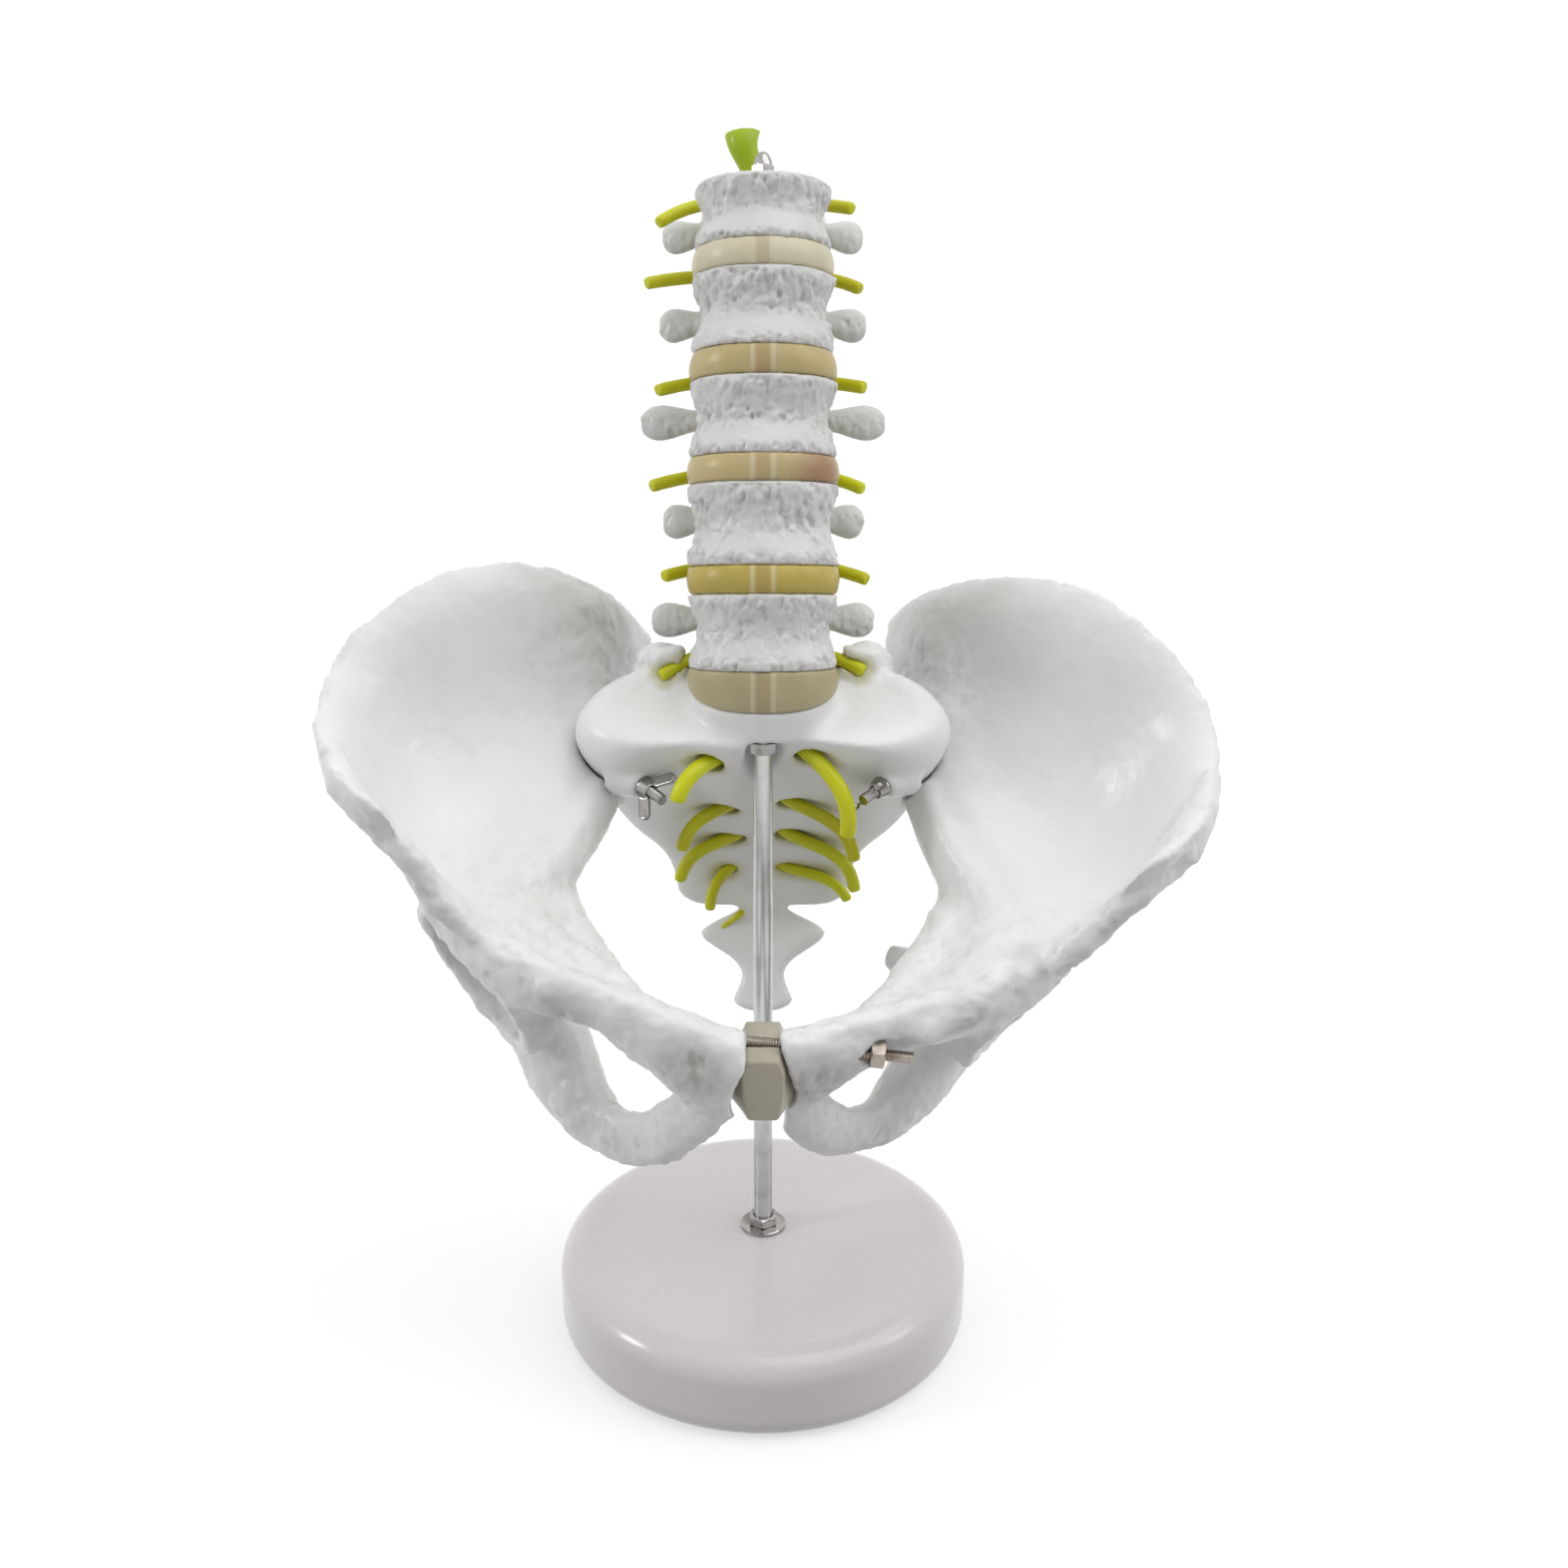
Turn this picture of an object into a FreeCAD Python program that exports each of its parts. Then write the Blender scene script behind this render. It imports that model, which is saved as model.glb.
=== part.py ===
import FreeCAD, Part
import Sketcher
import math
import os

# Pelvis skeleton model on a round base: two hip bones, sacrum and five
# lumbar vertebrae with discs and nerves, carried by one upright rod.
# Millimetres, +Z up, front of the pelvis towards -Y.
# The origin is the centre of the base's underside.

Vector = FreeCAD.Vector
os.makedirs("parts", exist_ok=True)
doc = FreeCAD.newDocument("pelvis_model")
sheet = doc.addObject("Spreadsheet::Sheet", "Sizes")

# Driving dimensions
SIZES = {
    "base_radius": 72.7,
    "base_thickness": 33.0,
    "base_top_round": 10.0,
    "base_foot_round": 9.0,
    "rod_back": 7.5,
    "rod_radius": 3.3,
    "rod_socket_depth": 16.0,
    "rod_height": 200.0,
    "bore_gap": 0.15,
    "washer_radius": 8.1,
    "washer_thickness": 1.4,
    "foot_nut_flats": 9.4,
    "foot_nut_height": 3.6,
    "top_nut_flats": 8.2,
    "top_nut_height": 4.0,
    "top_nut_level": 190.0,
    "piece_gap": 0.3,
    "sacrum_front_y": -5.0,
    "sacrum_front_level": 201.0,
    "sacrum_plate_tilt": -6.0,
    "sacrum_plate_width": 49.0,
    "sacrum_plate_depth": 31.0,
    "symphysis_y": -72.0,
    "symphysis_back": 13.0,
    "symphysis_front": 10.0,
    "hip_roll": 3.6,
    "hip_pitch": 3.2,
    "hip_step": 2.6,
    "hip_sideways": 1.5,
    "core_radius": 2.0,
    "cord_radius": 5.2,
    "root_radius": 2.3,
    "cord_stump": 27.0,
    "pubic_bolt_radius": 2.0,
    "pubic_bolt_slope": 6.6,
    "pubic_bolt_level": 117.0,
    "pubic_bolt_y": -72.0,
    "pubic_bolt_head_x": -36.5,
    "pubic_bolt_end_x": 47.0,
    "pubic_nut_x": 33.5,
    "pubic_nut_flats": 8.6,
    "pubic_nut_height": 4.6,
    "wing_screw_radius": 2.0,
    "wing_screw_tip": 6.0,
    "wing_screw_grip": 44.0,
    "wing_pad_height": 3.0,
    "wing_cap_radius": 4.2,
    "wing_cap_height": 2.4,
    "wing_hub_radius": 3.8,
    "wing_hub_height": 4.2,
    "wing_ear_length": 7.4,
    "wing_ear_width": 4.0,
    "wing_ear_thickness": 1.8,
    "wing_ear_rise": 44.0,
    "cap_nut_flats": 7.0,
    "cap_nut_height": 3.4,
    "cap_dome_radius": 3.0,
    "cap_dome_height": 7.4,
}

# Each level from the sacrum upwards: front height, extra backward tilt over
# the height, and for a vertebra its width, depth and transverse span.
DISC_HEIGHTS = {5: 14.3, 4: 9.3, 3: 9.0, 2: 9.6, 1: 9.1}
DISC_WEDGES = {5: 21.0, 4: 0.5, 3: 1.0, 2: 1.5, 1: 1.5}
BODY_HEIGHTS = {5: 25.5, 4: 27.2, 3: 25.6, 2: 25.8, 1: 21.9}
BODY_WEDGES = {5: 4.0, 4: 1.0, 3: 1.5, 2: 1.5, 1: 1.5}
BODY_WIDTHS = {5: 49.0, 4: 49.5, 3: 48.5, 2: 46.5, 1: 45.0}
BODY_DEPTHS = {5: 32.0, 4: 32.5, 3: 32.0, 2: 31.0, 1: 30.0}
PROCESS_SPANS = {5: 38.0, 4: 34.0, 3: 41.5, 2: 35.0, 1: 34.0}
for level in DISC_HEIGHTS:
    SIZES["disc_height_%s" % "abcde"[level - 1]] = DISC_HEIGHTS[level]
    SIZES["disc_wedge_%s" % "abcde"[level - 1]] = DISC_WEDGES[level]
    SIZES["body_height_%s" % "abcde"[level - 1]] = BODY_HEIGHTS[level]
    SIZES["body_wedge_%s" % "abcde"[level - 1]] = BODY_WEDGES[level]
    SIZES["body_width_%s" % "abcde"[level - 1]] = BODY_WIDTHS[level]
    SIZES["body_depth_%s" % "abcde"[level - 1]] = BODY_DEPTHS[level]
    SIZES["process_span_%s" % "abcde"[level - 1]] = PROCESS_SPANS[level]

for row, (name, value) in enumerate(SIZES.items(), start=1):
    sheet.set("A%d" % row, name)
    sheet.set("B%d" % row, str(value))
    sheet.setAlias("B%d" % row, name)
doc.recompute()


def size(name, level=None):
    """A driving dimension, or that of one lumbar level."""
    if level is not None:
        name = "%s_%s" % (name, "abcde"[level - 1])
    return float(sheet.get(name))


nodes = []


def keep(item, label, placement=None):
    """Name a finished sub-part and put it in its place."""
    item.Label = label
    if placement is not None:
        item.Placement = placement
    nodes.append(item)
    return item


def feature(label, shape, placement):
    """A finished shape as a sub-part, moved from where it stands by placement."""
    item = doc.addObject("Part::Feature", label)
    item.Shape = shape
    return keep(item, label, placement.multiply(shape.Placement))


def closed_curve(points):
    curve = Part.BSplineCurve()
    curve.interpolate(Points=points, PeriodicFlag=True)
    return Part.Wire([curve.toShape()])


def loft(wires):
    solid = Part.makeLoft(wires, True, False, False)
    if solid.Volume < 0:
        solid.reverse()
    return solid


def fuse(shapes):
    """Join the shapes one by one, and stop if one of them is lost."""
    whole = shapes[0]
    for shape in shapes[1:]:
        before = whole.Volume
        whole = whole.fuse(shape)
        grown = whole.Volume - before
        if grown < 0.02 * shape.Volume or grown > 1.02 * shape.Volume:
            raise RuntimeError("piece lost: %.0f of %.0f" % (grown, shape.Volume))
    if len(whole.Solids) != 1:
        raise RuntimeError("joined pieces stand apart: %d solids" % len(whole.Solids))
    return whole


def oval(centre, along, wide, half_wide, half_thick, count=8):
    """A closed oval across the direction along, widest in the direction wide."""
    along = Vector(along).normalize()
    wide = Vector(wide)
    wide = (wide - along * wide.dot(along)).normalize()
    thick = along.cross(wide)
    points = []
    for step in range(count):
        angle = 2.0 * math.pi * step / count
        points.append(Vector(centre) + wide * (half_wide * math.cos(angle))
                      + thick * (half_thick * math.sin(angle)))
    return closed_curve(points)


def limb(stations, wide):
    """A solid limb through stations of (centre, half width, half thickness)."""
    wires = []
    for index, (centre, half_wide, half_thick) in enumerate(stations):
        before = Vector(stations[max(index - 1, 0)][0])
        after = Vector(stations[min(index + 1, len(stations) - 1)][0])
        wires.append(oval(centre, after - before, wide, half_wide, half_thick))
    return loft(wires)


def prism(flats, length, point, axis):
    """A hexagonal prism standing on a point along an axis."""
    corners = []
    for step in range(7):
        angle = math.radians(60.0 * step)
        corners.append(Vector(math.cos(angle), math.sin(angle), 0) * (flats / math.sqrt(3.0)))
    block = Part.Face(Part.makePolygon(corners)).extrude(Vector(0, 0, length))
    block.Placement = FreeCAD.Placement(point, FreeCAD.Rotation(Vector(0, 0, 1), axis))
    return block


def mirrored(shape):
    """The same shape on the other side of the middle plane."""
    return shape.mirror(Vector(0, 0, 0), Vector(1, 0, 0))


STAND = FreeCAD.Placement(Vector(0, size("rod_back"), size("base_thickness")), FreeCAD.Rotation())

# Round base: one turned puck with a well rounded rim and a socket for the rod
body = doc.addObject("PartDesign::Body", "base")
sketch = body.newObject("Sketcher::SketchObject", "base_profile")
plane = [part for part in body.Origin.OriginFeatures if part.Role == "XZ_Plane"][0]
sketch.AttachmentSupport = (plane, [""])
sketch.MapMode = "FlatFace"
radius = size("base_radius")
height = size("base_thickness")
sketch.addGeometry(Part.LineSegment(Vector(0, 0, 0), Vector(radius, 0, 0)), False)
sketch.addGeometry(Part.LineSegment(Vector(radius, 0, 0), Vector(radius, height, 0)), False)
sketch.addGeometry(Part.LineSegment(Vector(radius, height, 0), Vector(0, height, 0)), False)
sketch.addGeometry(Part.LineSegment(Vector(0, height, 0), Vector(0, 0, 0)), False)
for first in range(4):
    sketch.addConstraint(Sketcher.Constraint("Coincident", first, 2, (first + 1) % 4, 1))
sketch.addConstraint(Sketcher.Constraint("Horizontal", 0))
sketch.addConstraint(Sketcher.Constraint("Vertical", 1))
sketch.addConstraint(Sketcher.Constraint("Horizontal", 2))
sketch.addConstraint(Sketcher.Constraint("Vertical", 3))
sketch.addConstraint(Sketcher.Constraint("Coincident", 0, 1, -1, 1))
sketch.addConstraint(Sketcher.Constraint("DistanceX", 0, 1, 0, 2, radius))
sketch.addConstraint(Sketcher.Constraint("DistanceY", 1, 1, 1, 2, height))
sketch.setExpression("Constraints[9]", "Sizes.base_radius")
sketch.setExpression("Constraints[10]", "Sizes.base_thickness")
turn = body.newObject("PartDesign::Revolution", "base_turn")
turn.Profile = sketch
turn.ReferenceAxis = (sketch, ["V_Axis"])
turn.Angle = 360.0
doc.recompute()


def rim_edge(shape, level):
    """Name of the outer circular edge at a level."""
    for number, edge in enumerate(shape.Edges, start=1):
        box = edge.BoundBox
        if abs(box.ZMin - level) < 1e-4 and abs(box.ZMax - level) < 1e-4 and box.XLength > radius:
            return "Edge%d" % number


rounds = body.newObject("PartDesign::Fillet", "base_top_rim")
rounds.Base = (turn, [rim_edge(turn.Shape, height)])
rounds.setExpression("Radius", "Sizes.base_top_round")
doc.recompute()
feet = body.newObject("PartDesign::Fillet", "base_foot_rim")
feet.Base = (rounds, [rim_edge(rounds.Shape, 0.0)])
feet.setExpression("Radius", "Sizes.base_foot_round")
doc.recompute()
socket = body.newObject("Sketcher::SketchObject", "socket_circle")
plane = [part for part in body.Origin.OriginFeatures if part.Role == "XY_Plane"][0]
socket.AttachmentSupport = (plane, [""])
socket.MapMode = "FlatFace"
socket.AttachmentOffset = FreeCAD.Placement(Vector(0, 0, height), FreeCAD.Rotation())
socket.setExpression("AttachmentOffset.Base.z", "Sizes.base_thickness")
bore_radius = size("rod_radius")
socket.addGeometry(Part.Circle(Vector(0, size("rod_back"), 0), Vector(0, 0, 1), bore_radius), False)
socket.addConstraint(Sketcher.Constraint("PointOnObject", 0, 3, -2))
socket.addConstraint(Sketcher.Constraint("DistanceY", -1, 1, 0, 3, size("rod_back")))
socket.addConstraint(Sketcher.Constraint("Radius", 0, bore_radius))
socket.setExpression("Constraints[1]", "Sizes.rod_back")
socket.setExpression("Constraints[2]", "Sizes.rod_radius")
pocket = body.newObject("PartDesign::Pocket", "rod_socket")
pocket.Profile = socket
pocket.setExpression("Length", "Sizes.rod_socket_depth")
body.Tip = pocket
doc.recompute()
print("base volume before and after the socket", feet.Shape.Volume, pocket.Shape.Volume)
keep(body, "base")


# Support rod, standing in the socket of the base and reaching into the sacrum
rod = doc.addObject("Part::Cylinder", "support_rod")
rod.setExpression("Radius", "Sizes.rod_radius")
rod.setExpression("Height", "Sizes.rod_height + Sizes.rod_socket_depth")
rod.setExpression("Placement.Base.y", "Sizes.rod_back")
rod.setExpression("Placement.Base.z", "Sizes.base_thickness - Sizes.rod_socket_depth")
keep(rod, "support_rod")


def ring(label, outer_name, height_name, hole_expression, base_expression, flats=None):
    """A washer, or a hex nut when flats names its width across flats."""
    if flats is None:
        blank = doc.addObject("Part::Cylinder", label + "_blank")
        blank.setExpression("Radius", "Sizes." + outer_name)
    else:
        blank = doc.addObject("Part::Prism", label + "_blank")
        blank.Polygon = 6
        blank.setExpression("Circumradius", "Sizes.%s / sqrt(3)" % flats)
    blank.setExpression("Height", "Sizes." + height_name)
    hole = doc.addObject("Part::Cylinder", label + "_hole")
    hole.setExpression("Radius", hole_expression)
    hole.setExpression("Height", "Sizes." + height_name)
    cut = doc.addObject("Part::Cut", label)
    cut.Base = blank
    cut.Tool = hole
    cut.setExpression("Placement.Base.y", "Sizes.rod_back")
    cut.setExpression("Placement.Base.z", base_expression)
    return keep(cut, label)


ROD_HOLE = "Sizes.rod_radius + Sizes.bore_gap"
ring("foot_washer", "washer_radius", "washer_thickness", ROD_HOLE, "Sizes.base_thickness")
ring("foot_nut", None, "foot_nut_height", ROD_HOLE,
     "Sizes.base_thickness + Sizes.washer_thickness", "foot_nut_flats")
ring("top_nut", None, "top_nut_height", ROD_HOLE,
     "Sizes.base_thickness + Sizes.top_nut_level - Sizes.top_nut_height", "top_nut_flats")


# Stack of planes up the spine: (front y, level, tilt) under and over each body
front = (size("sacrum_front_y"), size("sacrum_front_level"), size("sacrum_plate_tilt"))
under = {}
over = {}


def climb(start, run, wedge):
    """The next plane, run further up the front with the tilt grown by wedge."""
    middle = math.radians(start[2] + wedge / 2.0)
    return (start[0] + run * math.sin(middle), start[1] + run * math.cos(middle), start[2] + wedge)


station = front
for level in (5, 4, 3, 2, 1):
    under[level] = climb(station, size("disc_height", level), size("disc_wedge", level))
    over[level] = climb(under[level], size("body_height", level), size("body_wedge", level))
    station = over[level]


def on_plane(plane, across, back, up=0.0):
    """A point given across, back and up from the front middle of a plane."""
    tilt = math.radians(plane[2])
    return Vector(across,
                  plane[0] + back * math.cos(tilt) + up * math.sin(tilt),
                  plane[1] - back * math.sin(tilt) + up * math.cos(tilt))


def between(low, high, share):
    return tuple(a + (b - a) * share for a, b in zip(low, high))


# Kidney outline of a vertebral body: (share of half width, share of depth)
KIDNEY = [(0.0, 0.0), (0.42, 0.045), (0.80, 0.22), (1.0, 0.55), (0.84, 0.90), (0.42, 1.0),
          (0.0, 0.93)]
KIDNEY = KIDNEY + [(-across, back) for across, back in KIDNEY[-2:0:-1]]


def kidney(plane, width, depth, shrink=0.0):
    """The kidney outline on a plane, pulled in all round by shrink."""
    points = []
    for across, back in KIDNEY:
        half = width / 2.0 - shrink
        points.append(on_plane(plane, across * half, shrink + back * (depth - 2.0 * shrink)))
    return closed_curve(points)


# Core rod: one gentle arc through the middle of the discs and bodies
CORE_SHARE = 0.52
core_low = on_plane(front, 0, size("sacrum_plate_depth") * CORE_SHARE, -16.0)
core_mid = on_plane(over[4], 0, size("body_depth", 4) * CORE_SHARE)
core_top = on_plane(over[1], 0, size("body_depth", 1) * CORE_SHARE, 4.6)


def core_pipe(radius):
    arc = Part.Arc(core_low, core_mid, core_top).toShape()
    start = arc.tangentAt(arc.FirstParameter)
    ring_edge = Part.makeCircle(radius, core_low, start)
    return Part.Wire([arc]).makePipeShell([Part.Wire([ring_edge])], True, True)


core_hole = core_pipe(size("core_radius") + size("piece_gap"))


def lumbar_body(level):
    """Waisted body of a vertebra with a raised lip round each end plate."""
    width = size("body_width", level)
    depth = size("body_depth", level)
    low, high = under[level], over[level]
    wires = []
    for share, pull in ((0.0, 0.3), (0.09, 0.0), (0.5, 3.0), (0.91, 0.0), (1.0, 0.3)):
        wires.append(kidney(between(low, high, share), width, depth, pull))
    return loft(wires)


# Bony arch of a lumbar vertebra, in shares of the body's own sizes
CANAL_HALF = 10.5
CANAL_BACK = 15.0


def lumbar_arch(level):
    width = size("body_width", level)
    depth = size("body_depth", level)
    height = size("body_height", level)
    span = size("process_span", level)
    middle = between(under[level], over[level], 0.5)
    shapes = []
    joint_back = depth + CANAL_BACK * 0.55
    up = on_plane(middle, 0, 0, 1.0) - on_plane(middle, 0, 0)
    out = Vector(1, 0, 0)
    root = on_plane(middle, CANAL_HALF + 3.5, depth - 6.0, height * 0.18)
    joint = on_plane(middle, CANAL_HALF + 4.5, joint_back, height * 0.14)
    rear = on_plane(middle, 8.5, depth + CANAL_BACK + 3.0, -height * 0.02)
    ridge = on_plane(middle, 0, depth + CANAL_BACK + 6.0, -height * 0.10)
    far_rear = Vector(-rear.x, rear.y, rear.z)
    far_joint = Vector(-joint.x, joint.y, joint.z)
    shapes.append(limb([(root, 6.5, 4.2), (joint, 6.5, 4.4)], up))
    tip = on_plane(middle, span, joint_back + 4.0, height * 0.10)
    waist = (joint + (tip - joint) * 0.45)
    near = joint + (tip - joint) * 0.88
    shapes.append(limb([(joint, 6.0, 4.5), (waist, 4.6, 3.0), (near, 5.6, 2.8), (tip, 3.2, 1.8)], up))
    crown = on_plane(middle, CANAL_HALF + 5.5, joint_back + 3.5, height * 0.62)
    waist = on_plane(middle, CANAL_HALF + 5.5, joint_back + 2.5, height * 0.35)
    shapes.append(limb([(joint, 5.5, 4.5), (waist, 5.2, 4.0), (crown, 4.0, 2.6)], out))
    heel = on_plane(middle, 9.5, joint_back + 12.0, -height * 0.66)
    knee = on_plane(middle, 9.5, joint_back + 10.5, -height * 0.35)
    shapes.append(limb([(rear, 5.0, 4.4), (knee, 5.0, 4.2), (heel, 3.6, 3.0)], out))
    hoop = limb([(joint, 7.0, 4.6), (rear, 9.0, 3.6), (ridge, 9.0, 3.4), (far_rear, 9.0, 3.6),
                 (far_joint, 7.0, 4.6)], up)
    shapes = [hoop] + shapes + [mirrored(shape) for shape in shapes]
    keel = on_plane(middle, 0, depth + CANAL_BACK + 3.0, -height * 0.10)
    blade = on_plane(middle, 0, depth + CANAL_BACK + 18.0, -height * 0.20)
    brink = on_plane(middle, 0, depth + CANAL_BACK + 28.0, -height * 0.26)
    shapes.append(limb([(keel, 9.5, 4.0), (blade, 9.0, 2.8), (brink, 7.5, 3.6)], up))
    return fuse(shapes)


def canal_solid(low, high, depth):
    """Clear way for the spinal cord behind a body."""
    wires = []
    for plane, reach in ((low, -14.0), (between(low, high, 0.5), 0.0), (high, 14.0)):
        centre = on_plane(plane, 0, depth + CANAL_BACK * 0.5, reach)
        tilt = math.radians(plane[2])
        along = Vector(0, math.sin(tilt), math.cos(tilt))
        wires.append(oval(centre, along, Vector(1, 0, 0), CANAL_HALF, CANAL_BACK * 0.47))
    return loft(wires)


def disc(level, low, high, low_sizes, high_sizes):
    """Disc that fills the space between two end plates and bulges a little."""
    wires = []
    for share, bulge in ((0.0, 0.3), (0.5, -0.7), (1.0, 0.3)):
        width = low_sizes[0] + (high_sizes[0] - low_sizes[0]) * share
        depth = low_sizes[1] + (high_sizes[1] - low_sizes[1]) * share
        wires.append(kidney(between(low, high, share), width, depth, bulge))
    return loft(wires).cut(core_hole)


# Sacrum and tail bone, one casting. Each station down the front face:
# (y, level, half width, middle thickness, edge thickness)
SACRUM_STATIONS = [
    (-3.0, 191.0, 50.0, 38.0, 22.0),
    (0.5, 183.0, 62.0, 44.0, 30.0),
    (13.0, 167.0, 60.0, 38.0, 27.0),
    (28.0, 150.0, 53.0, 29.0, 17.0),
    (36.5, 138.0, 45.0, 23.0, 10.0),
    (41.5, 128.0, 36.0, 19.0, 8.0),
    (45.0, 116.0, 32.0, 14.0, 6.5),
    (45.5, 106.5, 24.0, 11.0, 6.0),
]
TAIL_STATIONS = [
    (45.5, 112.0, 14.0, 10.0, 6.0),
    (44.5, 103.5, 12.5, 9.0, 5.5),
    (41.0, 97.0, 23.0, 8.5, 5.0),
    (38.0, 91.0, 14.0, 8.0, 5.0),
    (33.0, 82.0, 8.5, 7.0, 4.5),
    (27.0, 74.0, 5.0, 5.0, 3.5),
]


def spade(stations, index, extra):
    """Cross section of the sacrum: hollow front, rounded edges, ridged back."""
    y, level, half, middle, edge = stations[index]
    before = stations[max(index - 1, 0)]
    after = stations[min(index + 1, len(stations) - 1)]
    down = Vector(0, after[0] - before[0], after[1] - before[1]).normalize()
    back = Vector(0, -down.z, down.y)
    if back.y < 0:
        back = back * -1.0
    half = half + extra
    shape = [(0.0, -extra), (0.45, -extra - 0.4), (0.82, -extra), (1.0, edge * 0.45),
             (0.86, edge + extra), (0.45, middle * 0.90 + extra), (0.0, middle + extra)]
    shape = shape + [(-across, depth) for across, depth in shape[-2:0:-1]]
    points = [Vector(across * half, y, level) + back * depth for across, depth in shape]
    return closed_curve(points)


def sacrum_form(extra):
    wires = [spade(SACRUM_STATIONS, index, extra) for index in range(len(SACRUM_STATIONS))]
    return loft(wires)


# Sacral nerves, from the canal out through the front holes. For each pair:
# place of the hole down the stations, half spacing, nerve radius, clearance
# in the hole, then the run outwards, forwards and down beyond the hole on the
# -X and the +X side. The last pair is a close fit and carries the bundle.
SACRAL_NERVES = [
    (1.1, 18.5, 2.9, 1.4, (10.0, 8.5, 10.5), (9.5, 6.0, 24.0)),
    (2.7, 15.0, 2.5, 1.4, (13.0, 6.0, 13.0), (16.5, 6.0, 17.0)),
    (4.06, 13.5, 2.4, 1.2, (16.0, 5.0, 14.0), (19.0, 5.0, 18.0)),
    (5.5, 13.0, 2.1, 0.3, (6.0, 5.0, 13.0), (17.5, 4.0, 10.0)),
]
# Where a sacral nerve turns down outside its hole, in shares of its run
# outwards, forwards and down
SHOULDER = (0.42, 0.5, 0.15)


def front_of_sacrum(place):
    """Point on the front face and the direction into the bone at a place."""
    index = int(place)
    low = SACRUM_STATIONS[index]
    high = SACRUM_STATIONS[index + 1]
    share = place - index
    point = Vector(0, low[0] + (high[0] - low[0]) * share, low[1] + (high[1] - low[1]) * share)
    down = Vector(0, high[0] - low[0], high[1] - low[1]).normalize()
    return point, Vector(0, -down.z, down.y)


# The canal in the sacrum: place down the stations, depth behind the front as
# a share of the thickness, half width and half depth of the canal, and half
# width of the nerve bundle in it
CANAL_STATIONS = [
    (1.7, 0.66, 8.0, 5.5, 3.9),
    (2.5, 0.66, 6.5, 4.4, 3.2),
    (3.63, 0.62, 5.5, 3.6, 2.6),
    (5.3, 0.58, 4.6, 3.0, 2.2),
    (5.7, 0.58, 4.0, 2.6, 1.9),
]


def canal_middle(place, share):
    """Middle of the canal at a place down the sacrum."""
    point, inward = front_of_sacrum(place)
    low = SACRUM_STATIONS[int(place)][3]
    high = SACRUM_STATIONS[int(place) + 1][3]
    return point + inward * ((low + (high - low) * (place - int(place))) * share)


canal_entry = on_plane(front, 0, size("sacrum_plate_depth") + CANAL_BACK * 0.5 + 2.2, 8.0)


def canal_in_sacrum():
    """The nerve canal down the sacrum, ending blind below the last holes."""
    stations = [(canal_entry, 9.0, 7.3)]
    for place, share, wide, thick, bundle in CANAL_STATIONS:
        stations.append((canal_middle(place, share), wide, thick))
    return limb(stations, Vector(1, 0, 0))


def nerve_pipe(points, radius):
    """A round pipe along the smooth line through three or more points."""
    if len(points) == 3:
        line = Part.Arc(*points).toShape()
    else:
        curve = Part.BSplineCurve()
        curve.interpolate(points)
        line = curve.toShape()
    ring_edge = Part.makeCircle(radius, points[0], line.tangentAt(line.FirstParameter))
    return Part.Wire([line]).makePipeShell([Part.Wire([ring_edge])], True, True)


def sacral_arcs():
    """Points of each sacral nerve, with its radius and clearance."""
    arcs = []
    starts = [(canal_entry + canal_middle(*CANAL_STATIONS[0][:2])) * 0.5]
    starts = starts + [canal_middle(*station[:2]) for station in CANAL_STATIONS[1:4]]
    for start, (place, spacing, radius, clearance, low_run, high_run) in zip(starts, SACRAL_NERVES):
        mouth = front_of_sacrum(place)[0]
        for side, run in ((-1, low_run), (1, high_run)):
            route = [Vector(0, start.y, start.z)]
            for outwards, forwards, down in ((0, 0, 0), SHOULDER, (1, 1, 1)):
                route.append(Vector(side * (spacing + outwards * run[0]), mouth.y - forwards * run[1],
                                    mouth.z - down * run[2]))
            arcs.append((route, radius, clearance))
    return arcs


# Lumbar nerve roots from the top of the spine down: rise above the middle of
# the disc, then outward reach and drop of the end on each side
ROOTS = [
    (0.0, (35.0, 9.0), (30.0, 4.0)),
    (0.0, (39.0, 4.0), (32.5, 6.0)),
    (-2.0, (35.5, 4.0), (34.0, 3.0)),
    (0.0, (37.5, 4.0), (33.5, 5.0)),
    (4.5, (33.5, 3.0), (35.0, 4.0)),
    (4.0, (34.5, 6.0), (34.0, 4.0)),
]


def root_arcs():
    """Three points of each lumbar root, leaving the cord at disc level."""
    arcs = []
    for index, (rise, low_end, high_end) in enumerate(ROOTS):
        if index == 0:
            plane, depth = over[1], size("body_depth", 1)
        else:
            low = front if index == 5 else over[index + 1]
            plane, depth = between(low, under[index], 0.5), size("body_depth", index)
        for side, (reach, drop) in ((-1, low_end), (1, high_end)):
            arcs.append([on_plane(plane, 0, depth + CANAL_BACK * 0.5, 2.0 + rise),
                         on_plane(plane, side * reach * 0.55, depth + 2.7, 0.5 + rise),
                         on_plane(plane, side * reach, depth - 5.0, rise - drop)])
    return arcs


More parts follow.
